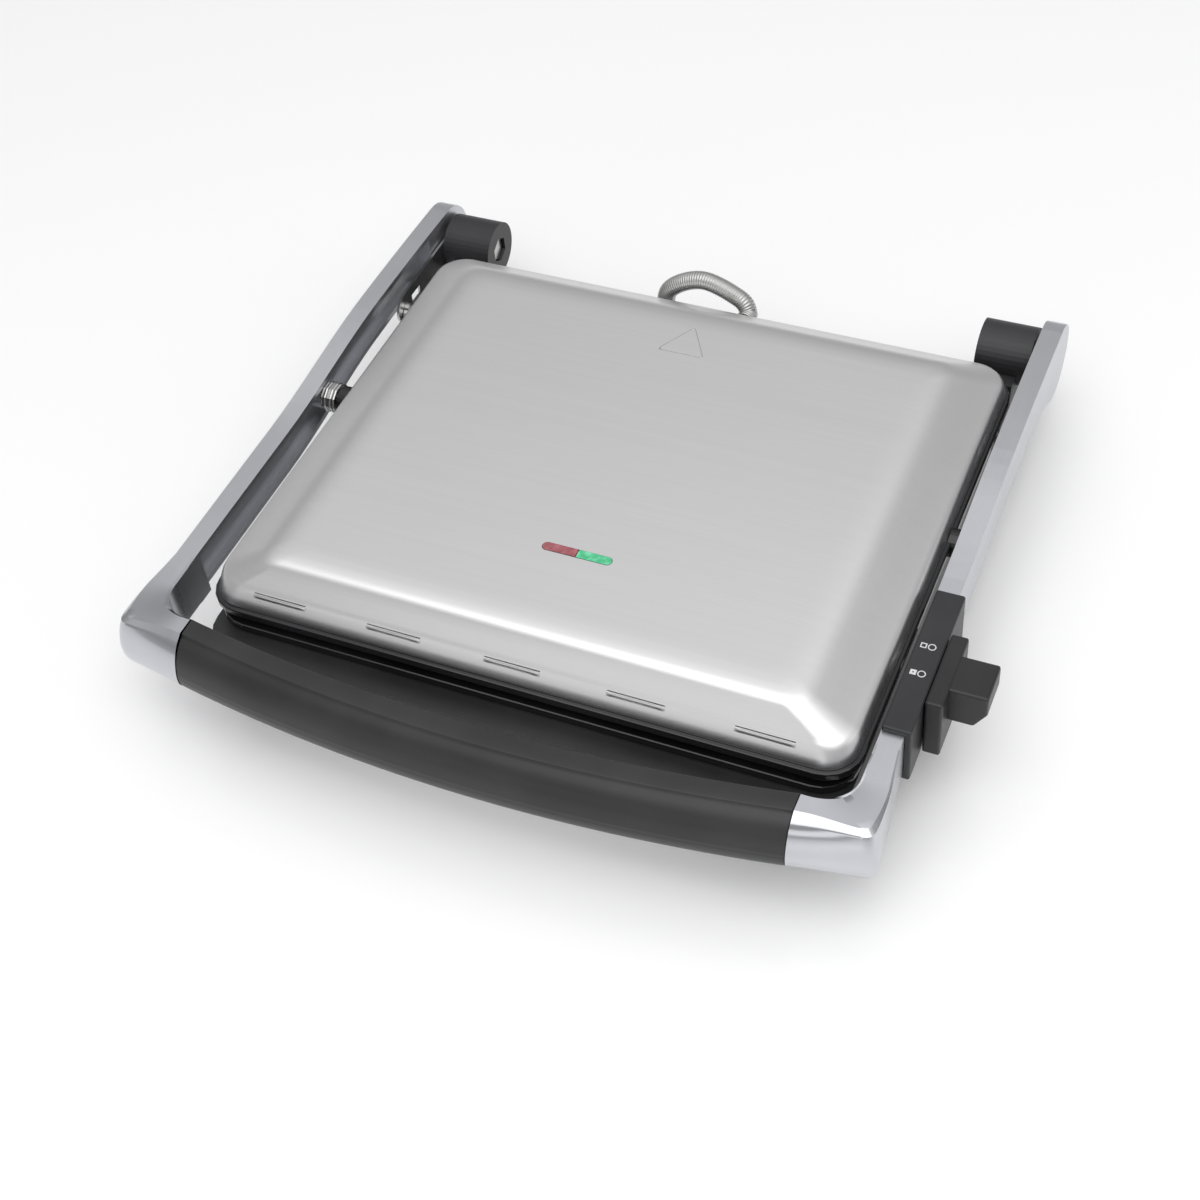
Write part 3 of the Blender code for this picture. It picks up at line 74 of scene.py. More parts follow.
# ---------------------------------------------------------------- shader building

class Value:
    """A number socket that can be used in sums."""

    def __init__(self, finish, socket):
        self.finish = finish
        self.socket = socket

    def _math(self, operation, first, second):
        node = self.finish.node("ShaderNodeMath", {"operation": operation}, {0: first, 1: second})
        return Value(self.finish, node.outputs[0])

    def __add__(self, other):
        return self._math("ADD", self, other)

    def __radd__(self, other):
        return self._math("ADD", other, self)

    def __sub__(self, other):
        return self._math("SUBTRACT", self, other)

    def __rsub__(self, other):
        return self._math("SUBTRACT", other, self)

    def __mul__(self, other):
        return self._math("MULTIPLY", self, other)

    def __rmul__(self, other):
        return self._math("MULTIPLY", other, self)


class Finish:
    """One material; what varies over the surface is made from object coordinates."""

    def __init__(self, name, colour, roughness, metallic=0.0, **constants):
        self.material = bpy.data.materials.new(name)
        self.material.use_nodes = True
        self.tree = self.material.node_tree
        self.shader = self.tree.nodes["Principled BSDF"]
        self.set("Base Color", (*colour, 1) if isinstance(colour, tuple) else colour)
        self.set("Roughness", roughness)
        self.set("Metallic", metallic)
        for socket, value in constants.items():
            self.set(socket.replace("_", " "), value)
        self.place = self.node("ShaderNodeTexCoord").outputs["Object"]

    def set(self, socket, value):
        self.feed(self.shader.inputs[socket], value)

    def feed(self, socket, value):
        if isinstance(value, Value):
            value = value.socket
        if isinstance(value, bpy.types.NodeSocket):
            self.tree.links.new(value, socket)
        else:
            socket.default_value = value

    def node(self, kind, settings=None, inputs=None):
        node = self.tree.nodes.new(kind)
        for key, value in (settings or {}).items():
            setattr(node, key, value)
        for key, value in (inputs or {}).items():
            self.feed(node.inputs[key], value)
        return node

    def stretched(self, x, y, z):
        return self.node("ShaderNodeMapping", inputs={"Vector": self.place, "Scale": (x, y, z)}).outputs[0]

    def noise(self, scale, detail=3.0, vector=None, roughness=0.5):
        node = self.node("ShaderNodeTexNoise", inputs={
            "Vector": vector or self.place, "Scale": scale, "Detail": detail, "Roughness": roughness})
        return Value(self, node.outputs[0])

    def ramp(self, value, low, high):
        node = self.node("ShaderNodeMapRange", {"clamp": True, "interpolation_type": "SMOOTHSTEP"},
                         {"Value": value, "From Min": low, "From Max": high})
        return Value(self, node.outputs[0])

    def along(self, axis):
        node = self.node("ShaderNodeSeparateXYZ", inputs={0: self.place})
        return Value(self, node.outputs["XYZ".index(axis)])

    def blend(self, factor, first, second):
        node = self.node("ShaderNodeMix", {"data_type": "RGBA"}, {0: factor, 6: (*first, 1), 7: (*second, 1)})
        return node.outputs[2]

    def bump(self, height, strength, distance):
        node = self.node("ShaderNodeBump", inputs={
            "Height": height, "Strength": strength, "Distance": distance})
        self.set("Normal", node.outputs[0])


def brushed_lid_steel():
    """Fine brushing along the width, with a soft cloudiness from handling."""
    finish = Finish("brushed_lid_steel", (0.80, 0.80, 0.80), 0.32, 1.0)
    streak = finish.noise(1.0, 4, finish.stretched(9, 2600, 2600), 0.65)
    broad = finish.noise(1.0, 2, finish.stretched(3, 240, 240))
    cloud = finish.noise(7.0, 3)
    finish.set("Roughness", 0.29 + 0.10 * streak + 0.04 * cloud)
    tone = 0.6 * streak + 0.25 * broad + 0.15 * cloud
    finish.set("Base Color", finish.blend(tone, (0.73, 0.73, 0.735), (0.87, 0.865, 0.86)))
    finish.bump(streak + 0.3 * broad, 0.05, 0.00004)
    return finish.material


def cast_arm_alloy():
    """Tumbled die-cast alloy, polished to a mirror at the front corners."""
    finish = Finish("cast_arm_alloy", (0.56, 0.57, 0.60), 0.36, 1.0)
    grain = finish.noise(1400, 2)
    patch = finish.noise(26, 4)
    streak = finish.noise(1.0, 3, finish.stretched(1500, 20, 1500))
    polish = 1 - finish.ramp(finish.along("Y"), -0.158, -0.120)
    finish.set("Roughness", 0.33 - 0.20 * polish + 0.06 * patch + 0.04 * streak * (1 - polish))
    finish.set("Base Color", finish.blend(0.6 * patch + 0.4 * streak * (1 - polish),
                                          (0.52, 0.53, 0.56), (0.68, 0.685, 0.71)))
    finish.bump((grain + 0.6 * streak) * (1 - 0.92 * polish), 0.06, 0.00004)
    return finish.material


def painted_shade_outline_steel():
    """The thin pressed line of the triangle is coloured a darker grey than the lid steel, as painted shade
    for its slopes, with random mottling.
    """
    finish = Finish("painted_shade_outline_steel", (0.52, 0.52, 0.53), 0.40, 1.0)
    worn = finish.noise(420, 3)
    # Painted shade: both greys sit well below the lid steel's; the mottle between them is random tone.
    finish.set("Base Color", finish.blend(worn, (0.44, 0.44, 0.45), (0.60, 0.60, 0.61)))
    finish.set("Roughness", 0.34 + 0.14 * worn)
    return finish.material


def plated_steel(name="plated_steel", light=0.62, rough=0.28):
    finish = Finish(name, (light, light, light), rough, 1.0)
    mottle = finish.noise(160, 3)
    dark = light * 0.82
    finish.set("Base Color", finish.blend(mottle, (dark, dark, dark * 0.98), (light, light, light * 0.98)))
    finish.set("Roughness", rough - 0.05 + 0.14 * mottle)
    return finish.material


def moulded(name, colour, rough, grain=1100.0, depth=0.00005, **constants):
    """Moulded plastic: spark-eroded grain, slight sheen patches and handling marks."""
    finish = Finish(name, colour, rough, 0.0, **constants)
    fine = finish.noise(grain, 2)
    patch = finish.noise(24, 4)
    lighter = tuple(channel * 1.35 + 0.004 for channel in colour)
    finish.set("Base Color", finish.blend(finish.ramp(patch, 0.30, 0.75), colour, lighter))
    finish.set("Roughness", rough - 0.05 + 0.10 * patch)
    finish.bump(fine, 0.35, depth)
    return finish.material


def nonstick():
    finish = Finish("nonstick", (0.02, 0.02, 0.02), 0.42)
    speck = finish.ramp(finish.noise(1800, 1), 0.62, 0.70)
    patch = finish.noise(40, 3)
    finish.set("Base Color", finish.blend(speck, (0.016, 0.016, 0.017), (0.07, 0.07, 0.072)))
    finish.set("Roughness", 0.36 + 0.14 * patch)
    finish.bump(finish.noise(700, 2), 0.3, 0.00006)
    return finish.material


def lens(name, deep, painted_light_tint):
    """Tinted lens, with a painted sheen of brighter random patches and a faint painted glow."""
    finish = Finish(name, deep, 0.16, 0.0, Coat_Weight=0.6, Coat_Roughness=0.05)
    # Painted sheen: random patches blend the lens colour towards a lighter tint.
    painted_sheen = finish.ramp(finish.noise(260, 2), 0.35, 0.75)
    finish.set("Base Color", finish.blend(painted_sheen, deep, painted_light_tint))
    # Painted glow: a faint emission in the lighter tint.
    finish.set("Emission Color", (*painted_light_tint, 1))
    finish.set("Emission Strength", 0.10)
    return finish.material


FINISH = {
    "brushed_steel": brushed_lid_steel(),
    "cast_alloy": cast_arm_alloy(),
    "zinc_steel": plated_steel(),
    "hose_metal": plated_steel("hose_metal", 0.56, 0.34),
    "grip_plastic": moulded("grip_plastic", (0.017, 0.017, 0.018), 0.38),
    "hinge_plastic": moulded("hinge_plastic", (0.021, 0.021, 0.023), 0.44),
    "lock_plastic": moulded("lock_plastic", (0.013, 0.013, 0.014), 0.42),
    "gloss_plastic": moulded("gloss_plastic", (0.008, 0.008, 0.009), 0.16, 500, 0.00001),
    "nonstick_coating": nonstick(),
    "rubber": moulded("rubber", (0.014, 0.014, 0.014), 0.82, 700, 0.0001),
    "red_lens": lens("red_lens", (0.26, 0.055, 0.065), (0.42, 0.12, 0.14)),
    "green_lens": lens("green_lens", (0.02, 0.42, 0.17), (0.20, 0.72, 0.42)),
    "ceramic": moulded("ceramic", (0.60, 0.58, 0.53), 0.60, 600, 0.00008),
    "element_sheath": plated_steel("element_sheath", 0.16, 0.48),
}
INK = moulded("sleeve_ink", (0.62, 0.62, 0.62), 0.55)
DARK = moulded("lens_edge", (0.03, 0.03, 0.03), 0.35)

SLOT_OF = {part["node"]: part["material_slot"] for part in frame["record"]["subparts"]}
for node_name, node in frame["nodes"].items():
    for material_slot in node.material_slots:
        material_slot.material = FINISH[SLOT_OF[node_name]]


# ---------------------------------------------------------------- mesh building

def new_piece(name, mesh, material, body, smooth_angle=32):
    piece = bpy.data.objects.new(name, mesh)
    bpy.context.scene.collection.objects.link(piece)
    mesh.materials.clear()
    mesh.materials.append(material)
    mesh.shade_smooth()
    mesh.set_sharp_from_angle(angle=math.radians(smooth_angle))
    if body:
        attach(piece, body)
    return piece


def loft_mesh(name, rings, cap_start=True, cap_end=True):
    shape = bmesh.new()
    loops = [[shape.verts.new(point) for point in ring] for ring in rings]
    for first, second in zip(loops, loops[1:]):
        for index in range(len(first)):
            following = (index + 1) % len(first)
            shape.faces.new((first[index], first[following], second[following], second[index]))
    if cap_start:
        shape.faces.new(loops[0])
    if cap_end:
        shape.faces.new(loops[-1])
    bmesh.ops.recalc_face_normals(shape, faces=shape.faces)
    mesh = bpy.data.meshes.new(name)
    shape.to_mesh(mesh)
    shape.free()
    return mesh


def band_mesh(name, rings):
    """A closed band: each ring joins the next, and the last joins the first."""
    shape = bmesh.new()
    loops = [[shape.verts.new(point) for point in ring] for ring in rings]
    loops.append(loops[0])
    for first, second in zip(loops, loops[1:]):
        for index in range(len(first)):
            following = (index + 1) % len(first)
            shape.faces.new((first[index], first[following], second[following], second[index]))
    bmesh.ops.recalc_face_normals(shape, faces=shape.faces)
    mesh = bpy.data.meshes.new(name)
    shape.to_mesh(mesh)
    shape.free()
    return mesh


def arc(centre, radius, start, end, steps):
    points = []
    for step in range(steps + 1):
        angle = math.radians(start + (end - start) * step / steps)
        points.append((centre[0] + radius * math.cos(angle), centre[1] + radius * math.sin(angle)))
    return points


def rounded_rectangle(low, high, radius, steps=10):
    points = arc((high[0] - radius, low[1] + radius), radius, -90, 0, steps)
    points += arc((high[0] - radius, high[1] - radius), radius, 0, 90, steps)
    points += arc((low[0] + radius, high[1] - radius), radius, 90, 180, steps)
    points += arc((low[0] + radius, low[1] + radius), radius, 180, 270, steps)
    return points


def evaluated_mesh(piece):
    """The piece's mesh with its modifiers applied; the piece itself goes."""
    bpy.context.view_layer.update()
    graph = bpy.context.evaluated_depsgraph_get()
    mesh = bpy.data.meshes.new_from_object(piece.evaluated_get(graph))
    bpy.data.objects.remove(piece)
    return mesh


def prism_mesh(name, outline, low, high):
    return loft_mesh(name, [[(x, y, low) for x, y in outline], [(x, y, high) for x, y in outline]])


def temporary(name, mesh):
    piece = bpy.data.objects.new(name, mesh)
    bpy.context.scene.collection.objects.link(piece)
    return piece


# ---------------------------------------------------------------- lid

COVER_LOW, COVER_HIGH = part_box("lid_cover")
COVER_MIDDLE_X = (COVER_LOW.x + COVER_HIGH.x) / 2
RED_LOW, RED_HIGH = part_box("indicator_red")
GREEN_LOW, GREEN_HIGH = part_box("indicator_green")
SHEET = 0.8 * MM
CORNER = 16 * MM
# Share of the height; insets of side, front and back in millimetres; share of the corner radius
COVER_LEVELS = [
    (0.00, 0.0, 0.0, 0.0, 1.0), (0.03, 0.0, 0.0, 0.0, 1.0), (0.06, 0.0, 0.1, 0.0, 1.0),
    (0.20, 0.5, 2.1, 0.5, 1.0), (0.33, 1.2, 4.0, 1.2, 1.0), (0.40, 2.2, 5.2, 2.2, 1.0),
    (0.43, 3.2, 5.8, 3.0, 0.98), (0.46, 4.8, 6.4, 4.2, 0.96), (0.50, 6.8, 7.0, 5.9, 0.93),
    (0.70, 16.0, 10.3, 13.4, 0.82), (0.86, 23.2, 12.9, 18.9, 0.72), (0.92, 26.4, 14.2, 21.5, 0.68),
    (0.957, 29.2, 15.9, 24.2, 0.65), (0.982, 32.4, 18.4, 27.4, 0.62), (0.995, 36.4, 22.4, 31.6, 0.58),
    (1.00, 41.0, 27.5, 36.5, 0.55), (1.00, 44.0, 30.5, 39.5, 0.52),
]
VENTS = 5
VENT_PITCH = 63 * MM
VENT_LENGTH = 29 * MM
VENT_SHARE = 0.31
VENT_SLOT_RISE = 1.35 * MM
VENT_SLOT_HALF = 0.26 * MM
VENT_SLOT_CORNER = 0.25 * MM
LIP_TOP_RISE = 0.95 * MM
LIP_HEIGHT = 1.7 * MM
LIP_SWELL = 0.60 * MM
LIP_PROUD = 0.06 * MM
LIP_SHEET = 0.35 * MM
LIP_COLUMNS = 30
LIP_ROWS = 8
WINDOW_CLEARANCE = 0.25 * MM
TRIANGLE_WIDTH = 27 * MM
TRIANGLE_HEIGHT = 23 * MM
TRIANGLE_FROM_BACK = 59 * MM
TRIANGLE_SHIFT = 2 * MM
TRIANGLE_CORNER = 3.0 * MM
TRIANGLE_CORNER_STEPS = 6
TRIANGLE_LINE = 1.0 * MM
TRIANGLE_RISE = 0.18 * MM
TRIANGLE_SINK = 0.1 * MM
SURROUND_OUTER = 0.22 * MM
SURROUND_INNER = 0.05 * MM
SURROUND_RISE = 0.04 * MM
SURROUND_DEPTH = 0.9 * MM


def cover_outline(side, front, back, radius):
    low = (COVER_LOW.x + side * MM, COVER_LOW.y + front * MM)
    high = (COVER_HIGH.x - side * MM, COVER_HIGH.y - back * MM)
    return rounded_rectangle(low, high, radius * CORNER)


def front_of_cover(share):
    """Inset of the front face at a share of the height, in metres."""
    for (low, _, first, _, _), (high, _, second, _, _) in zip(COVER_LEVELS, COVER_LEVELS[1:]):
        if low <= share <= high and high > low:
            return (first + (second - first) * (share - low) / (high - low)) * MM
    return 0.0


def window_outline(grow):
    low = (RED_LOW.x - grow, RED_LOW.y - grow)
    high = (GREEN_HIGH.x + grow, RED_HIGH.y + grow)
    return rounded_rectangle(low, high, (high[1] - low[1]) / 2 * 0.999, 8)


def lid_cover():
    """The pressed sheet: soft rings from the rim up to the flat top, with slots and the lens window."""
    height = COVER_HIGH.z - COVER_LOW.z
    rings = []
    for share, side, front, back, radius in COVER_LEVELS:
        z = COVER_LOW.z + share * height
        rings.append([(x, y, z) for x, y in cover_outline(side, front, back, radius)])
    inner = []
    for share, side, front, back, radius in COVER_LEVELS:
        z = max(COVER_LOW.z, COVER_LOW.z + share * height - SHEET * min(1.0, share * 2))
        inset = SHEET / MM
        inner.append([(x, y, z) for x, y in cover_outline(side + inset, front + inset, back + inset, radius)])
    cover = temporary("cover_blank", loft_mesh("cover_blank", list(reversed(inner)) + rings))
    tools = [temporary("window_tool", prism_mesh("window_tool", window_outline(WINDOW_CLEARANCE),
                                                 COVER_HIGH.z - 4 * MM, COVER_HIGH.z + 2 * MM))]
    for number in range(VENTS):
        x = COVER_MIDDLE_X + (number - (VENTS - 1) / 2) * VENT_PITCH
        z = COVER_LOW.z + VENT_SHARE * height + VENT_SLOT_RISE
        outline = rounded_rectangle((x - VENT_LENGTH / 2, z - VENT_SLOT_HALF),
                                    (x + VENT_LENGTH / 2, z + VENT_SLOT_HALF), VENT_SLOT_CORNER, 3)
        mesh = loft_mesh(f"vent_tool_{number}", [[(px, COVER_LOW.y - 3 * MM, pz) for px, pz in outline],
                                                 [(px, COVER_LOW.y + 9 * MM, pz) for px, pz in outline]])
        tools.append(temporary(f"vent_tool_{number}", mesh))
    for tool in tools:
        cut = cover.modifiers.new(tool.name, "BOOLEAN")
        cut.object = tool
        cut.operation = "DIFFERENCE"
    mesh = evaluated_mesh(cover)
    for tool in tools:
        bpy.data.objects.remove(tool)
    piece = new_piece("lid_cover_pressed", mesh, FINISH["brushed_steel"], "lid")
    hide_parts("lid_cover")


def vent_lips():
    """Below each slot the sheet is pushed out into a low louvre."""
    for number in range(VENTS):
        middle = COVER_MIDDLE_X + (number - (VENTS - 1) / 2) * VENT_PITCH
        name = f"vent_lip_{number + 1}"
        piece = temporary("lip_blank", lip_mesh(name, middle))
        sheet = piece.modifiers.new("sheet", "SOLIDIFY")
        sheet.thickness = LIP_SHEET
        sheet.offset = 0
        new_piece(name, evaluated_mesh(piece), FINISH["brushed_steel"], "lid")


def lip_mesh(name, middle):
    """One louvre as an open sheet that swells away from the front face and fades at both ends."""
    height = COVER_HIGH.z - COVER_LOW.z
    shape = bmesh.new()
    grid = []
    for row in range(LIP_ROWS + 1):
        v = row / LIP_ROWS
        share = VENT_SHARE + (LIP_TOP_RISE - v * LIP_HEIGHT) / height
        row_points = []
        for column in range(LIP_COLUMNS + 1):
            u = 2 * column / LIP_COLUMNS - 1
            fade = max(0.0, 1 - abs(u) ** 6)
            swell = LIP_SWELL * math.cos(v * math.pi / 2) * fade
            y = COVER_LOW.y + front_of_cover(share) - swell - LIP_PROUD
            z = COVER_LOW.z + share * height
            row_points.append(shape.verts.new((middle + u * VENT_LENGTH / 2, y, z)))
        grid.append(row_points)
    for first, second in zip(grid, grid[1:]):
        for a, b, c, d in zip(first, first[1:], second[1:], second):
            shape.faces.new((a, d, c, b))
    bmesh.ops.recalc_face_normals(shape, faces=shape.faces)
    mesh = bpy.data.meshes.new(name)
    shape.to_mesh(mesh)
    shape.free()
    return mesh


def triangle_outline(grow, lift):
    """Corners moved out from the middle by grow and rounded with a curve."""
    base_y = COVER_HIGH.y - TRIANGLE_FROM_BACK
    corners = [Vector((-TRIANGLE_WIDTH / 2, base_y)), Vector((TRIANGLE_WIDTH / 2, base_y)),
               Vector((0, base_y + TRIANGLE_HEIGHT))]
    centre = Vector((0, base_y + TRIANGLE_HEIGHT / 3))
    points = []
    for index, here in enumerate(corners):
        before = corners[index - 1]
        after = corners[(index + 1) % 3]
        tip = here + (here - centre).normalized() * grow
        start = tip + (before - here).normalized() * TRIANGLE_CORNER
        finish = tip + (after - here).normalized() * TRIANGLE_CORNER
        for step in range(TRIANGLE_CORNER_STEPS + 1):
            t = step / TRIANGLE_CORNER_STEPS
            point = start * (1 - t) ** 2 + tip * 2 * t * (1 - t) + finish * t ** 2
            points.append((point.x + COVER_MIDDLE_X + TRIANGLE_SHIFT, point.y, COVER_HIGH.z + lift))
    return points


def hot_surface_triangle():
    """A plain raised triangle line with rounded corners, pressed into the lid."""
    line = TRIANGLE_LINE
    rings = [triangle_outline(0, -TRIANGLE_SINK), triangle_outline(-0.25 * line, TRIANGLE_RISE),
             triangle_outline(-0.75 * line, TRIANGLE_RISE), triangle_outline(-line, -TRIANGLE_SINK)]
    mesh = band_mesh("hot_surface_triangle", rings)
    new_piece("hot_surface_triangle", mesh, painted_shade_outline_steel(), "lid", 50)


def lens_surround():
    """Thin dark edge round the two lenses."""
    top = COVER_HIGH.z + SURROUND_RISE
    bottom = COVER_HIGH.z - SURROUND_DEPTH
    rings = []
    for grow, z in ((SURROUND_OUTER, bottom), (SURROUND_OUTER, top),
                    (SURROUND_INNER, top), (SURROUND_INNER, bottom)):
        rings.append([(x, y, z) for x, y in window_outline(grow)])
    new_piece("lens_surround", band_mesh("lens_surround", rings), DARK, "lid")


# ---------------------------------------------------------------- grip

GRIP_LOW, GRIP_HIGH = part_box("grip")
GRIP_BOW = 13.5 * MM
GRIP_DEPTH = GRIP_HIGH.y - GRIP_LOW.y - GRIP_BOW
# shares of depth outward and of height, from the lower back edge round to the underside
GRIP_PROFILE = [(0.05, 0.0), (0.015, 0.02), (0.0, 0.06), (0.0, 0.30), (0.0, 0.60), (0.0, 0.93), (0.015, 0.98),
                (0.05, 1.0), (0.20, 1.0), (0.40, 0.995), (0.445, 0.985), (0.475, 0.955), (0.52, 0.930),
                (0.60, 0.895), (0.68, 0.845), (0.76, 0.780), (0.84, 0.695), (0.90, 0.605), (0.95, 0.505),
                (0.985, 0.40), (0.995, 0.37), (0.990, 0.345), (0.998, 0.32), (1.0, 0.27), (0.995, 0.20),
                (0.975, 0.12), (0.935, 0.06), (0.88, 0.02), (0.81, 0.0), (0.60, 0.0), (0.30, 0.0)]


GRIP_SLICES = 72
GRIP_END_INSET = 0.35 * MM
GRIP_END_SHRINK = 0.035


def grip_skin():
    """The rounded section swept along the bow, with a fine chamfer at each end."""
    middle_x = (GRIP_LOW.x + GRIP_HIGH.x) / 2
    half = (GRIP_HIGH.x - GRIP_LOW.x) / 2
    height = GRIP_HIGH.z - GRIP_LOW.z
    rings = []
    for step in range(GRIP_SLICES + 1):
        share = 2 * step / GRIP_SLICES - 1
        x = middle_x + half * share
        back = GRIP_HIGH.y - GRIP_BOW * (1 - share * share)
        rings.append([(x, back - u * GRIP_DEPTH, GRIP_LOW.z + v * height) for u, v in GRIP_PROFILE])
    ends = []
    for ring, push in ((rings[0], -1), (rings[-1], 1)):
        centre = Vector([sum(point[axis] for point in ring) / len(ring) for axis in range(3)])
        ends.append([tuple(Vector(point).lerp(centre, GRIP_END_SHRINK)) for point in ring])
        for index, point in enumerate(ring):
            ring[index] = (point[0] - push * GRIP_END_INSET, point[1], point[2])
    mesh = loft_mesh("grip_skin", [ends[0]] + rings + [ends[1]])
    piece = new_piece("grip_skin", mesh, FINISH["grip_plastic"], "handle_frame", 28)
    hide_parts("grip")


# ---------------------------------------------------------------- corner castings

# Sections as shares of depth outward and of height: the D of the grip and the bar of an arm
CASTING_GRIP = ((0.06, 0), (0, 0.05), (0, 0.95), (0.06, 1), (0.46, 1), (0.65, 0.90),
                (0.81, 0.75), (0.93, 0.55), (1, 0.33), (0.98, 0.14), (0.88, 0.035), (0.74, 0))
CASTING_BAR = ((0.08, 0), (0, 0.03), (0, 0.97), (0.08, 1), (0.93, 1), (1, 0.97),
               (1, 0.80), (1, 0.60), (1, 0.40), (1, 0.20), (1, 0.03), (0.93, 0))
FIRST_ROUND = 4
SECTION_STEPS = 5
TURN_STEPS = 56
FILLET = 18 * MM
FRONT_SLOPE = 0.19
SIDE_SLOPE = 0.141
FLARE = 6.5 * MM
ARM_WIDTH = 11 * MM
SHARPNESS = 14
SKIN = 0.06 * MM
BAR_LOW_Z = 32 * MM
BAR_HIGH_Z = 60 * MM
CASTING_MARGIN = 0.3 * MM
CASTING_REACH = 22 * MM
CASTING_FRONT = 8 * MM
CASTING_ENDS = (23 * MM, 28 * MM, 38 * MM)
CASTING_CREASE = 30


def fine_section(section, rounded):
    """More points round a section; the face that the hand meets becomes a smooth curve."""
    fine = []
    count = len(section)
    for index in range(count):
        before, start, finish, after = (Vector(section[(index + shift) % count]) for shift in (-1, 0, 1, 2))
        for step in range(SECTION_STEPS):
            t = step / SECTION_STEPS
            if rounded and FIRST_ROUND < index < count - 1:
                fine.append(catmull_rom(before, start, finish, after, t))
            else:
                fine.append(start.lerp(finish, t))
    return fine


def ease(t):
    return t * t * (3 - 2 * t)


def casting_skin(side, sign):
    """Smooth skin over the casting that turns from the grip into the arm."""
    middle_x = (GRIP_LOW.x + GRIP_HIGH.x) / 2
    end_x = (GRIP_HIGH.x - GRIP_LOW.x) / 2
    back_y = GRIP_HIGH.y
    inner_x = end_x + CASTING_REACH
    outer_x = inner_x + ARM_WIDTH + FLARE
    outer_y = back_y - CASTING_FRONT
    centre = Vector((inner_x - FILLET, back_y + FILLET))
    grip_section = fine_section(CASTING_GRIP, True)
    bar_section = fine_section(CASTING_BAR, False)

    def section(blend, reach):
        low = GRIP_LOW.z + (BAR_LOW_Z - GRIP_LOW.z) * blend - CASTING_MARGIN - SKIN
        high = GRIP_HIGH.z + (BAR_HIGH_Z - GRIP_HIGH.z) * blend + CASTING_MARGIN + SKIN
        points = []
        for first, second in zip(grip_section, bar_section):
            share = first.lerp(second, blend)
            points.append((share.x * (reach + 2 * SKIN) - SKIN, low + (high - low) * share.y))
        return points

    def reach(angle):
        across = math.cos(angle)
        along = math.sin(angle)
        front = back_y - GRIP_DEPTH - centre.y + FRONT_SLOPE * (centre.x - end_x)
        to_front = front / (along - FRONT_SLOPE * across)
        edge = outer_x - centre.x - SIDE_SLOPE * (centre.y - outer_y)
        facing = across + SIDE_SLOPE * along
        to_side = edge / facing if facing > 0.05 else 1
        return (to_front ** -SHARPNESS + to_side ** -SHARPNESS) ** (-1 / SHARPNESS)

    rings = [[(end_x + CASTING_MARGIN, back_y - u, v) for u, v in section(0, GRIP_DEPTH)]]
    for step in range(TURN_STEPS + 1):
        turn = step / TURN_STEPS
        angle = math.radians(90 * turn - 90)
        normal = Vector((math.cos(angle), math.sin(angle)))
        rings.append([(*(centre + normal * (FILLET + u)), v)
                      for u, v in section(ease(turn), reach(angle) - FILLET)])
    for distance in CASTING_ENDS:
        y = back_y + distance
        outer = max(outer_x - SIDE_SLOPE * (y - outer_y), inner_x + ARM_WIDTH + CASTING_MARGIN)
        rings.append([(inner_x + u, y, v) for u, v in section(1, outer - inner_x)])
    placed = []
    for ring in rings:
        placed.append([(max(middle_x + sign * x, CAD_BOX[0][0]), y, z) for x, y, z in ring])
    mesh = loft_mesh(f"casting_skin_{side}", placed)
    new_piece(f"casting_skin_{side}", mesh, FINISH["cast_alloy"], "handle_frame",
              CASTING_CREASE)


# ---------------------------------------------------------------- hose

def catmull_rom(before, start, finish, after, t):
    return 0.5 * (2 * start + (finish - before) * t + (2 * before - 5 * start + 4 * finish - after) * t * t
                  + (3 * start - before - 3 * finish + after) * t ** 3)


HOSE_FROM_WALL = 8.2 * MM
HOSE_SPAN = 51 * MM
HOSE_ENTRY_Z = 56.5 * MM
HOSE_CREST_Z = 70 * MM
HOSE_STEPS = 40
HOSE_SIDES = 28
HOSE_PITCH = 1.35 * MM
HOSE_CORE = 4.84 * MM
HOSE_RIB = 0.34 * MM
HOSE_SPLIT = 0.56
HOSE_LAP = 0.002
SLICES_PER_TURN = 6


def hose_route():
    """Centre line from the socket on the base over to the back of the lid."""
    socket_low, socket_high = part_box("conduit_socket")
    _, frame_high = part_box("lid_frame")
    lower_low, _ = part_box("conduit_lower")
    x = (socket_low.x + socket_high.x) / 2
    y = socket_low.y + HOSE_FROM_WALL
    end = Vector((x + HOSE_SPAN, frame_high.y + 0.3 * MM, HOSE_ENTRY_Z))
    knots = [Vector((x, y, lower_low.z)), Vector((x, y, lower_low.z + 19 * MM)),
             Vector((x + 3 * MM, y + 1 * MM, HOSE_CREST_Z - 10 * MM)),
             Vector((x + 22.5 * MM, y + 2 * MM, HOSE_CREST_Z)),
             Vector((end.x - 6 * MM, y, HOSE_CREST_Z - 6 * MM)),
             end + Vector((0, 7 * MM, 0.6 * MM)), end + Vector((0, 2 * MM, 0))]
    points = []
    for index in range(len(knots) - 1):
        before = knots[max(index - 1, 0)]
        after = knots[min(index + 2, len(knots) - 1)]
        for step in range(HOSE_STEPS):
            points.append(catmull_rom(before, knots[index], knots[index + 1], after, step / HOSE_STEPS))
    return points + [knots[-1], end]


def point_along(route, lengths, distance):
    distance = min(max(distance, 0), lengths[-1])
    return Vector([np.interp(distance, lengths, [point[axis] for point in route]) for axis in range(3)])


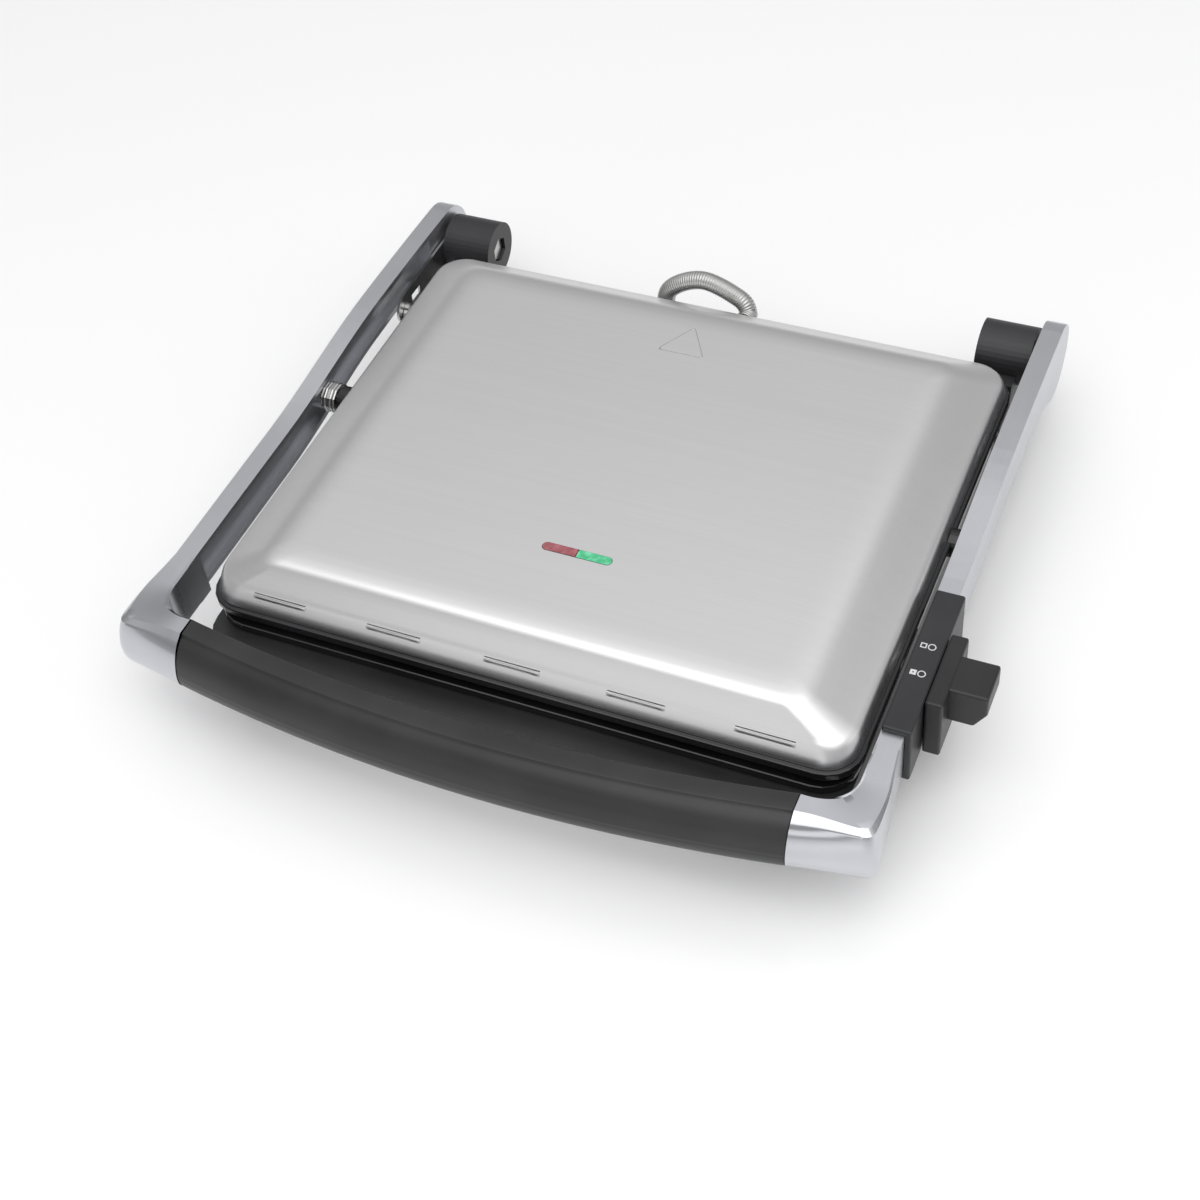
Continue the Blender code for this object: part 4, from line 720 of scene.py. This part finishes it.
def ribbed_hose(name, route, start, finish):
    """A tube whose radius follows the turns of the spiral, between two shares of the route."""
    lengths = [0.0]
    for first, second in zip(route, route[1:]):
        lengths.append(lengths[-1] + (second - first).length)
    total = lengths[-1]
    start *= total
    finish *= total
    count = int((finish - start) / (HOSE_PITCH / SLICES_PER_TURN))
    rings = []
    side = Vector((0, 1, 0))
    for step in range(count + 1):
        distance = start + (finish - start) * step / count
        place = point_along(route, lengths, distance)
        ahead = point_along(route, lengths, distance + MM)
        behind = point_along(route, lengths, distance - MM)
        tangent = (ahead - behind).normalized()
        side = (side - tangent * side.dot(tangent)).normalized()
        other = tangent.cross(side)
        ring = []
        for corner in range(HOSE_SIDES):
            angle = 2 * math.pi * corner / HOSE_SIDES
            phase = 2 * math.pi * distance / HOSE_PITCH + angle
            radius = HOSE_CORE + HOSE_RIB * (0.5 + 0.5 * math.cos(phase)) ** 0.6
            ring.append(tuple(place + side * radius * math.cos(angle) + other * radius * math.sin(angle)))
        rings.append(ring)
    return loft_mesh(name, rings)


def hose():
    """Two halves of one hose: one runs from the base towards the arms, the other from there on to the lid."""
    route = hose_route()
    metal = FINISH["hose_metal"]
    lower_mesh = ribbed_hose("hose_lower", route, 0.0, HOSE_SPLIT + HOSE_LAP)
    upper_mesh = ribbed_hose("hose_upper", route, HOSE_SPLIT, 1.0)
    lower = new_piece("hose_lower", lower_mesh, metal, None, 60)
    upper = new_piece("hose_upper", upper_mesh, metal, None, 60)
    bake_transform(lower)
    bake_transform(upper)
    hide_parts("conduit_lower")
    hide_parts("conduit_upper")


# ---------------------------------------------------------------- lock marks

INK_THICKNESS = 0.04 * MM
INK_RISE = 0.02 * MM
MARK_ROWS = (("free", 36 * MM, 0.62), ("locked", 53 * MM, 0.25))
RING_OUTER = 2.0 * MM
RING_INNER = 1.45 * MM
RING_SHIFT = 1.6 * MM
SQUARE_SHIFT = 2.4 * MM
SQUARE_HALF = 1.5 * MM


def flat_mark(name, outline, hole, z):
    """A printed ring: an outline with a hole, a hair above the sleeve."""
    top = z + INK_THICKNESS
    rings = [[(x, y, level) for x, y in points]
             for points, level in ((outline, z), (outline, top), (hole, top), (hole, z))]
    mesh = band_mesh(name, rings)
    new_piece(name, mesh, INK, "handle_frame")


def lock_marks():
    """Two plain marks: a ring beside a nearly full square for locked, and beside an open one for free."""
    low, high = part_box("lock_sleeve")
    x = (low.x + high.x) / 2 - 0.5 * MM
    z = high.z + INK_RISE
    for name, distance, hollow in MARK_ROWS:
        y = high.y - distance
        ring = arc((x + RING_SHIFT, y), RING_OUTER, 0, 345, 23)
        hole = arc((x + RING_SHIFT, y), RING_INNER, 0, 345, 23)
        flat_mark(f"mark_{name}_ring", ring, hole, z)
        centre = x - SQUARE_SHIFT
        corners = ((-1, -1), (1, -1), (1, 1), (-1, 1))
        square = [(centre + SQUARE_HALF * across, y + SQUARE_HALF * along) for across, along in corners]
        inner = [(centre + (px - centre) * hollow, y + (py - y) * hollow) for px, py in square]
        flat_mark(f"mark_{name}_square", square, inner, z)


# ---------------------------------------------------------------- CAD nodes kept

EDGE_ANGLE = 38


def soften(names, width, segments=2):
    """Small rounded edges, with the flat faces kept flat in the shading."""
    for name in names:
        bevel = frame["nodes"][name].modifiers.new("edge", "BEVEL")
        bevel.width = width
        bevel.segments = segments
        bevel.limit_method = "ANGLE"
        bevel.angle_limit = math.radians(EDGE_ANGLE)
        facing = frame["nodes"][name].modifiers.new("flat_faces", "WEIGHTED_NORMAL")
        facing.mode = "FACE_AREA_WITH_ANGLE"
        facing.weight = 100
        facing.keep_sharp = False


# ---------------------------------------------------------------- studio

# Brightness of the surroundings from straight below to straight above, as height and shade
SKY_STOPS = ((0.0, 0.50), (0.30, 0.36), (0.60, 0.46), (0.84, 0.98))
SKY_BLUE = 1.01
FLOOR_HALF = 6
FLOOR_TOP = -0.0002
FLOOR_BOTTOM = -0.02
VIEW_AZIMUTH = 27.98
VIEW_ELEVATION = 47.64
VIEW_ROLL = 6.8
VIEW_PLACE = (0.310035, -0.63475, 0.748)
LENS = 57.6


def area_light(name, place, target, size, power, size_y=None):
    light = bpy.data.lights.new(name, "AREA")
    light.energy = power
    light.shape = "RECTANGLE"
    light.size = size
    light.size_y = size_y or size
    holder = bpy.data.objects.new(name, light)
    bpy.context.scene.collection.objects.link(holder)
    holder.location = place
    holder.rotation_euler = (Vector(target) - Vector(place)).to_track_quat("-Z", "Y").to_euler()
    return holder


def studio():
    """Pale surroundings that brighten upwards, a glossy floor and three soft panels."""
    world = bpy.data.worlds.new("studio")
    world.use_nodes = True
    bpy.context.scene.world = world
    tree = world.node_tree
    background = tree.nodes["Background"]
    coordinates = tree.nodes.new("ShaderNodeTexCoord")
    split = tree.nodes.new("ShaderNodeSeparateXYZ")
    ramp = tree.nodes.new("ShaderNodeValToRGB")
    tree.links.new(coordinates.outputs["Generated"], split.inputs[0])
    tree.links.new(split.outputs["Z"], ramp.inputs[0])
    tree.links.new(ramp.outputs[0], background.inputs["Color"])
    ramp.color_ramp.elements.new(SKY_STOPS[1][0])
    ramp.color_ramp.elements.new(SKY_STOPS[2][0])
    for element, (position, shade) in zip(ramp.color_ramp.elements, SKY_STOPS):
        element.position = position
        element.color = (shade, shade, shade * SKY_BLUE, 1)
    background.inputs["Strength"].default_value = 1.0

    outline = [(x * FLOOR_HALF, y * FLOOR_HALF) for x, y in ((-1, -1), (1, -1), (1, 1), (-1, 1))]
    floor = temporary("floor", prism_mesh("floor", outline, FLOOR_BOTTOM, FLOOR_TOP))
    ground = Finish("floor", (0.95, 0.95, 0.95), 0.20)
    ground.set("Roughness", 0.18 + 0.05 * ground.noise(3, 2))
    ground.set("Emission Color", (1, 1, 1, 1))
    ground.set("Emission Strength", 0.08)
    floor.data.materials.append(ground.material)

    area_light("overhead", (0.4, -0.9, 2.1), (0, 0, 0), 2.6, 24)
    area_light("front_panel", (-0.3, -2.2, 0.55), (0, 0, 0.05), 2.0, 2.6, 0.5)
    area_light("right_panel", (2.0, 0.2, 0.9), (0, 0, 0.05), 1.4, 2.5, 0.8)


def camera():
    """View from above the right front corner, with a small roll."""
    data = bpy.data.cameras.new("camera")
    holder = bpy.data.objects.new("camera", data)
    bpy.context.scene.collection.objects.link(holder)
    azimuth = math.radians(VIEW_AZIMUTH)
    elevation = math.radians(VIEW_ELEVATION)
    roll = math.radians(VIEW_ROLL)
    back = Vector((math.sin(azimuth) * math.cos(elevation), -math.cos(azimuth) * math.cos(elevation),
                   math.sin(elevation)))
    level_right = Vector((math.cos(azimuth), math.sin(azimuth), 0))
    level_down = (-back).cross(level_right)
    right = math.cos(roll) * level_right + math.sin(roll) * level_down
    down = -math.sin(roll) * level_right + math.cos(roll) * level_down
    pose = Matrix((right, -down, back)).transposed().to_4x4()
    pose.translation = VIEW_PLACE
    holder.matrix_world = pose
    data.sensor_width = 36
    data.lens = LENS
    data.clip_start = 0.01
    data.clip_end = 50
    bpy.context.scene.camera = holder


camera()
studio()
lid_cover()
vent_lips()
hot_surface_triangle()
lens_surround()
grip_skin()
casting_skin("left", -1)
casting_skin("right", 1)
hose()
lock_marks()
soften(("arm_left", "arm_right"), 0.5 * MM)
soften(("base_bezel", "lid_frame"), 0.3 * MM, 1)
soften(("lock_sleeve", "lock_lever"), 1.0 * MM, 3)
bpy.context.scene.view_settings.view_transform = "Standard"
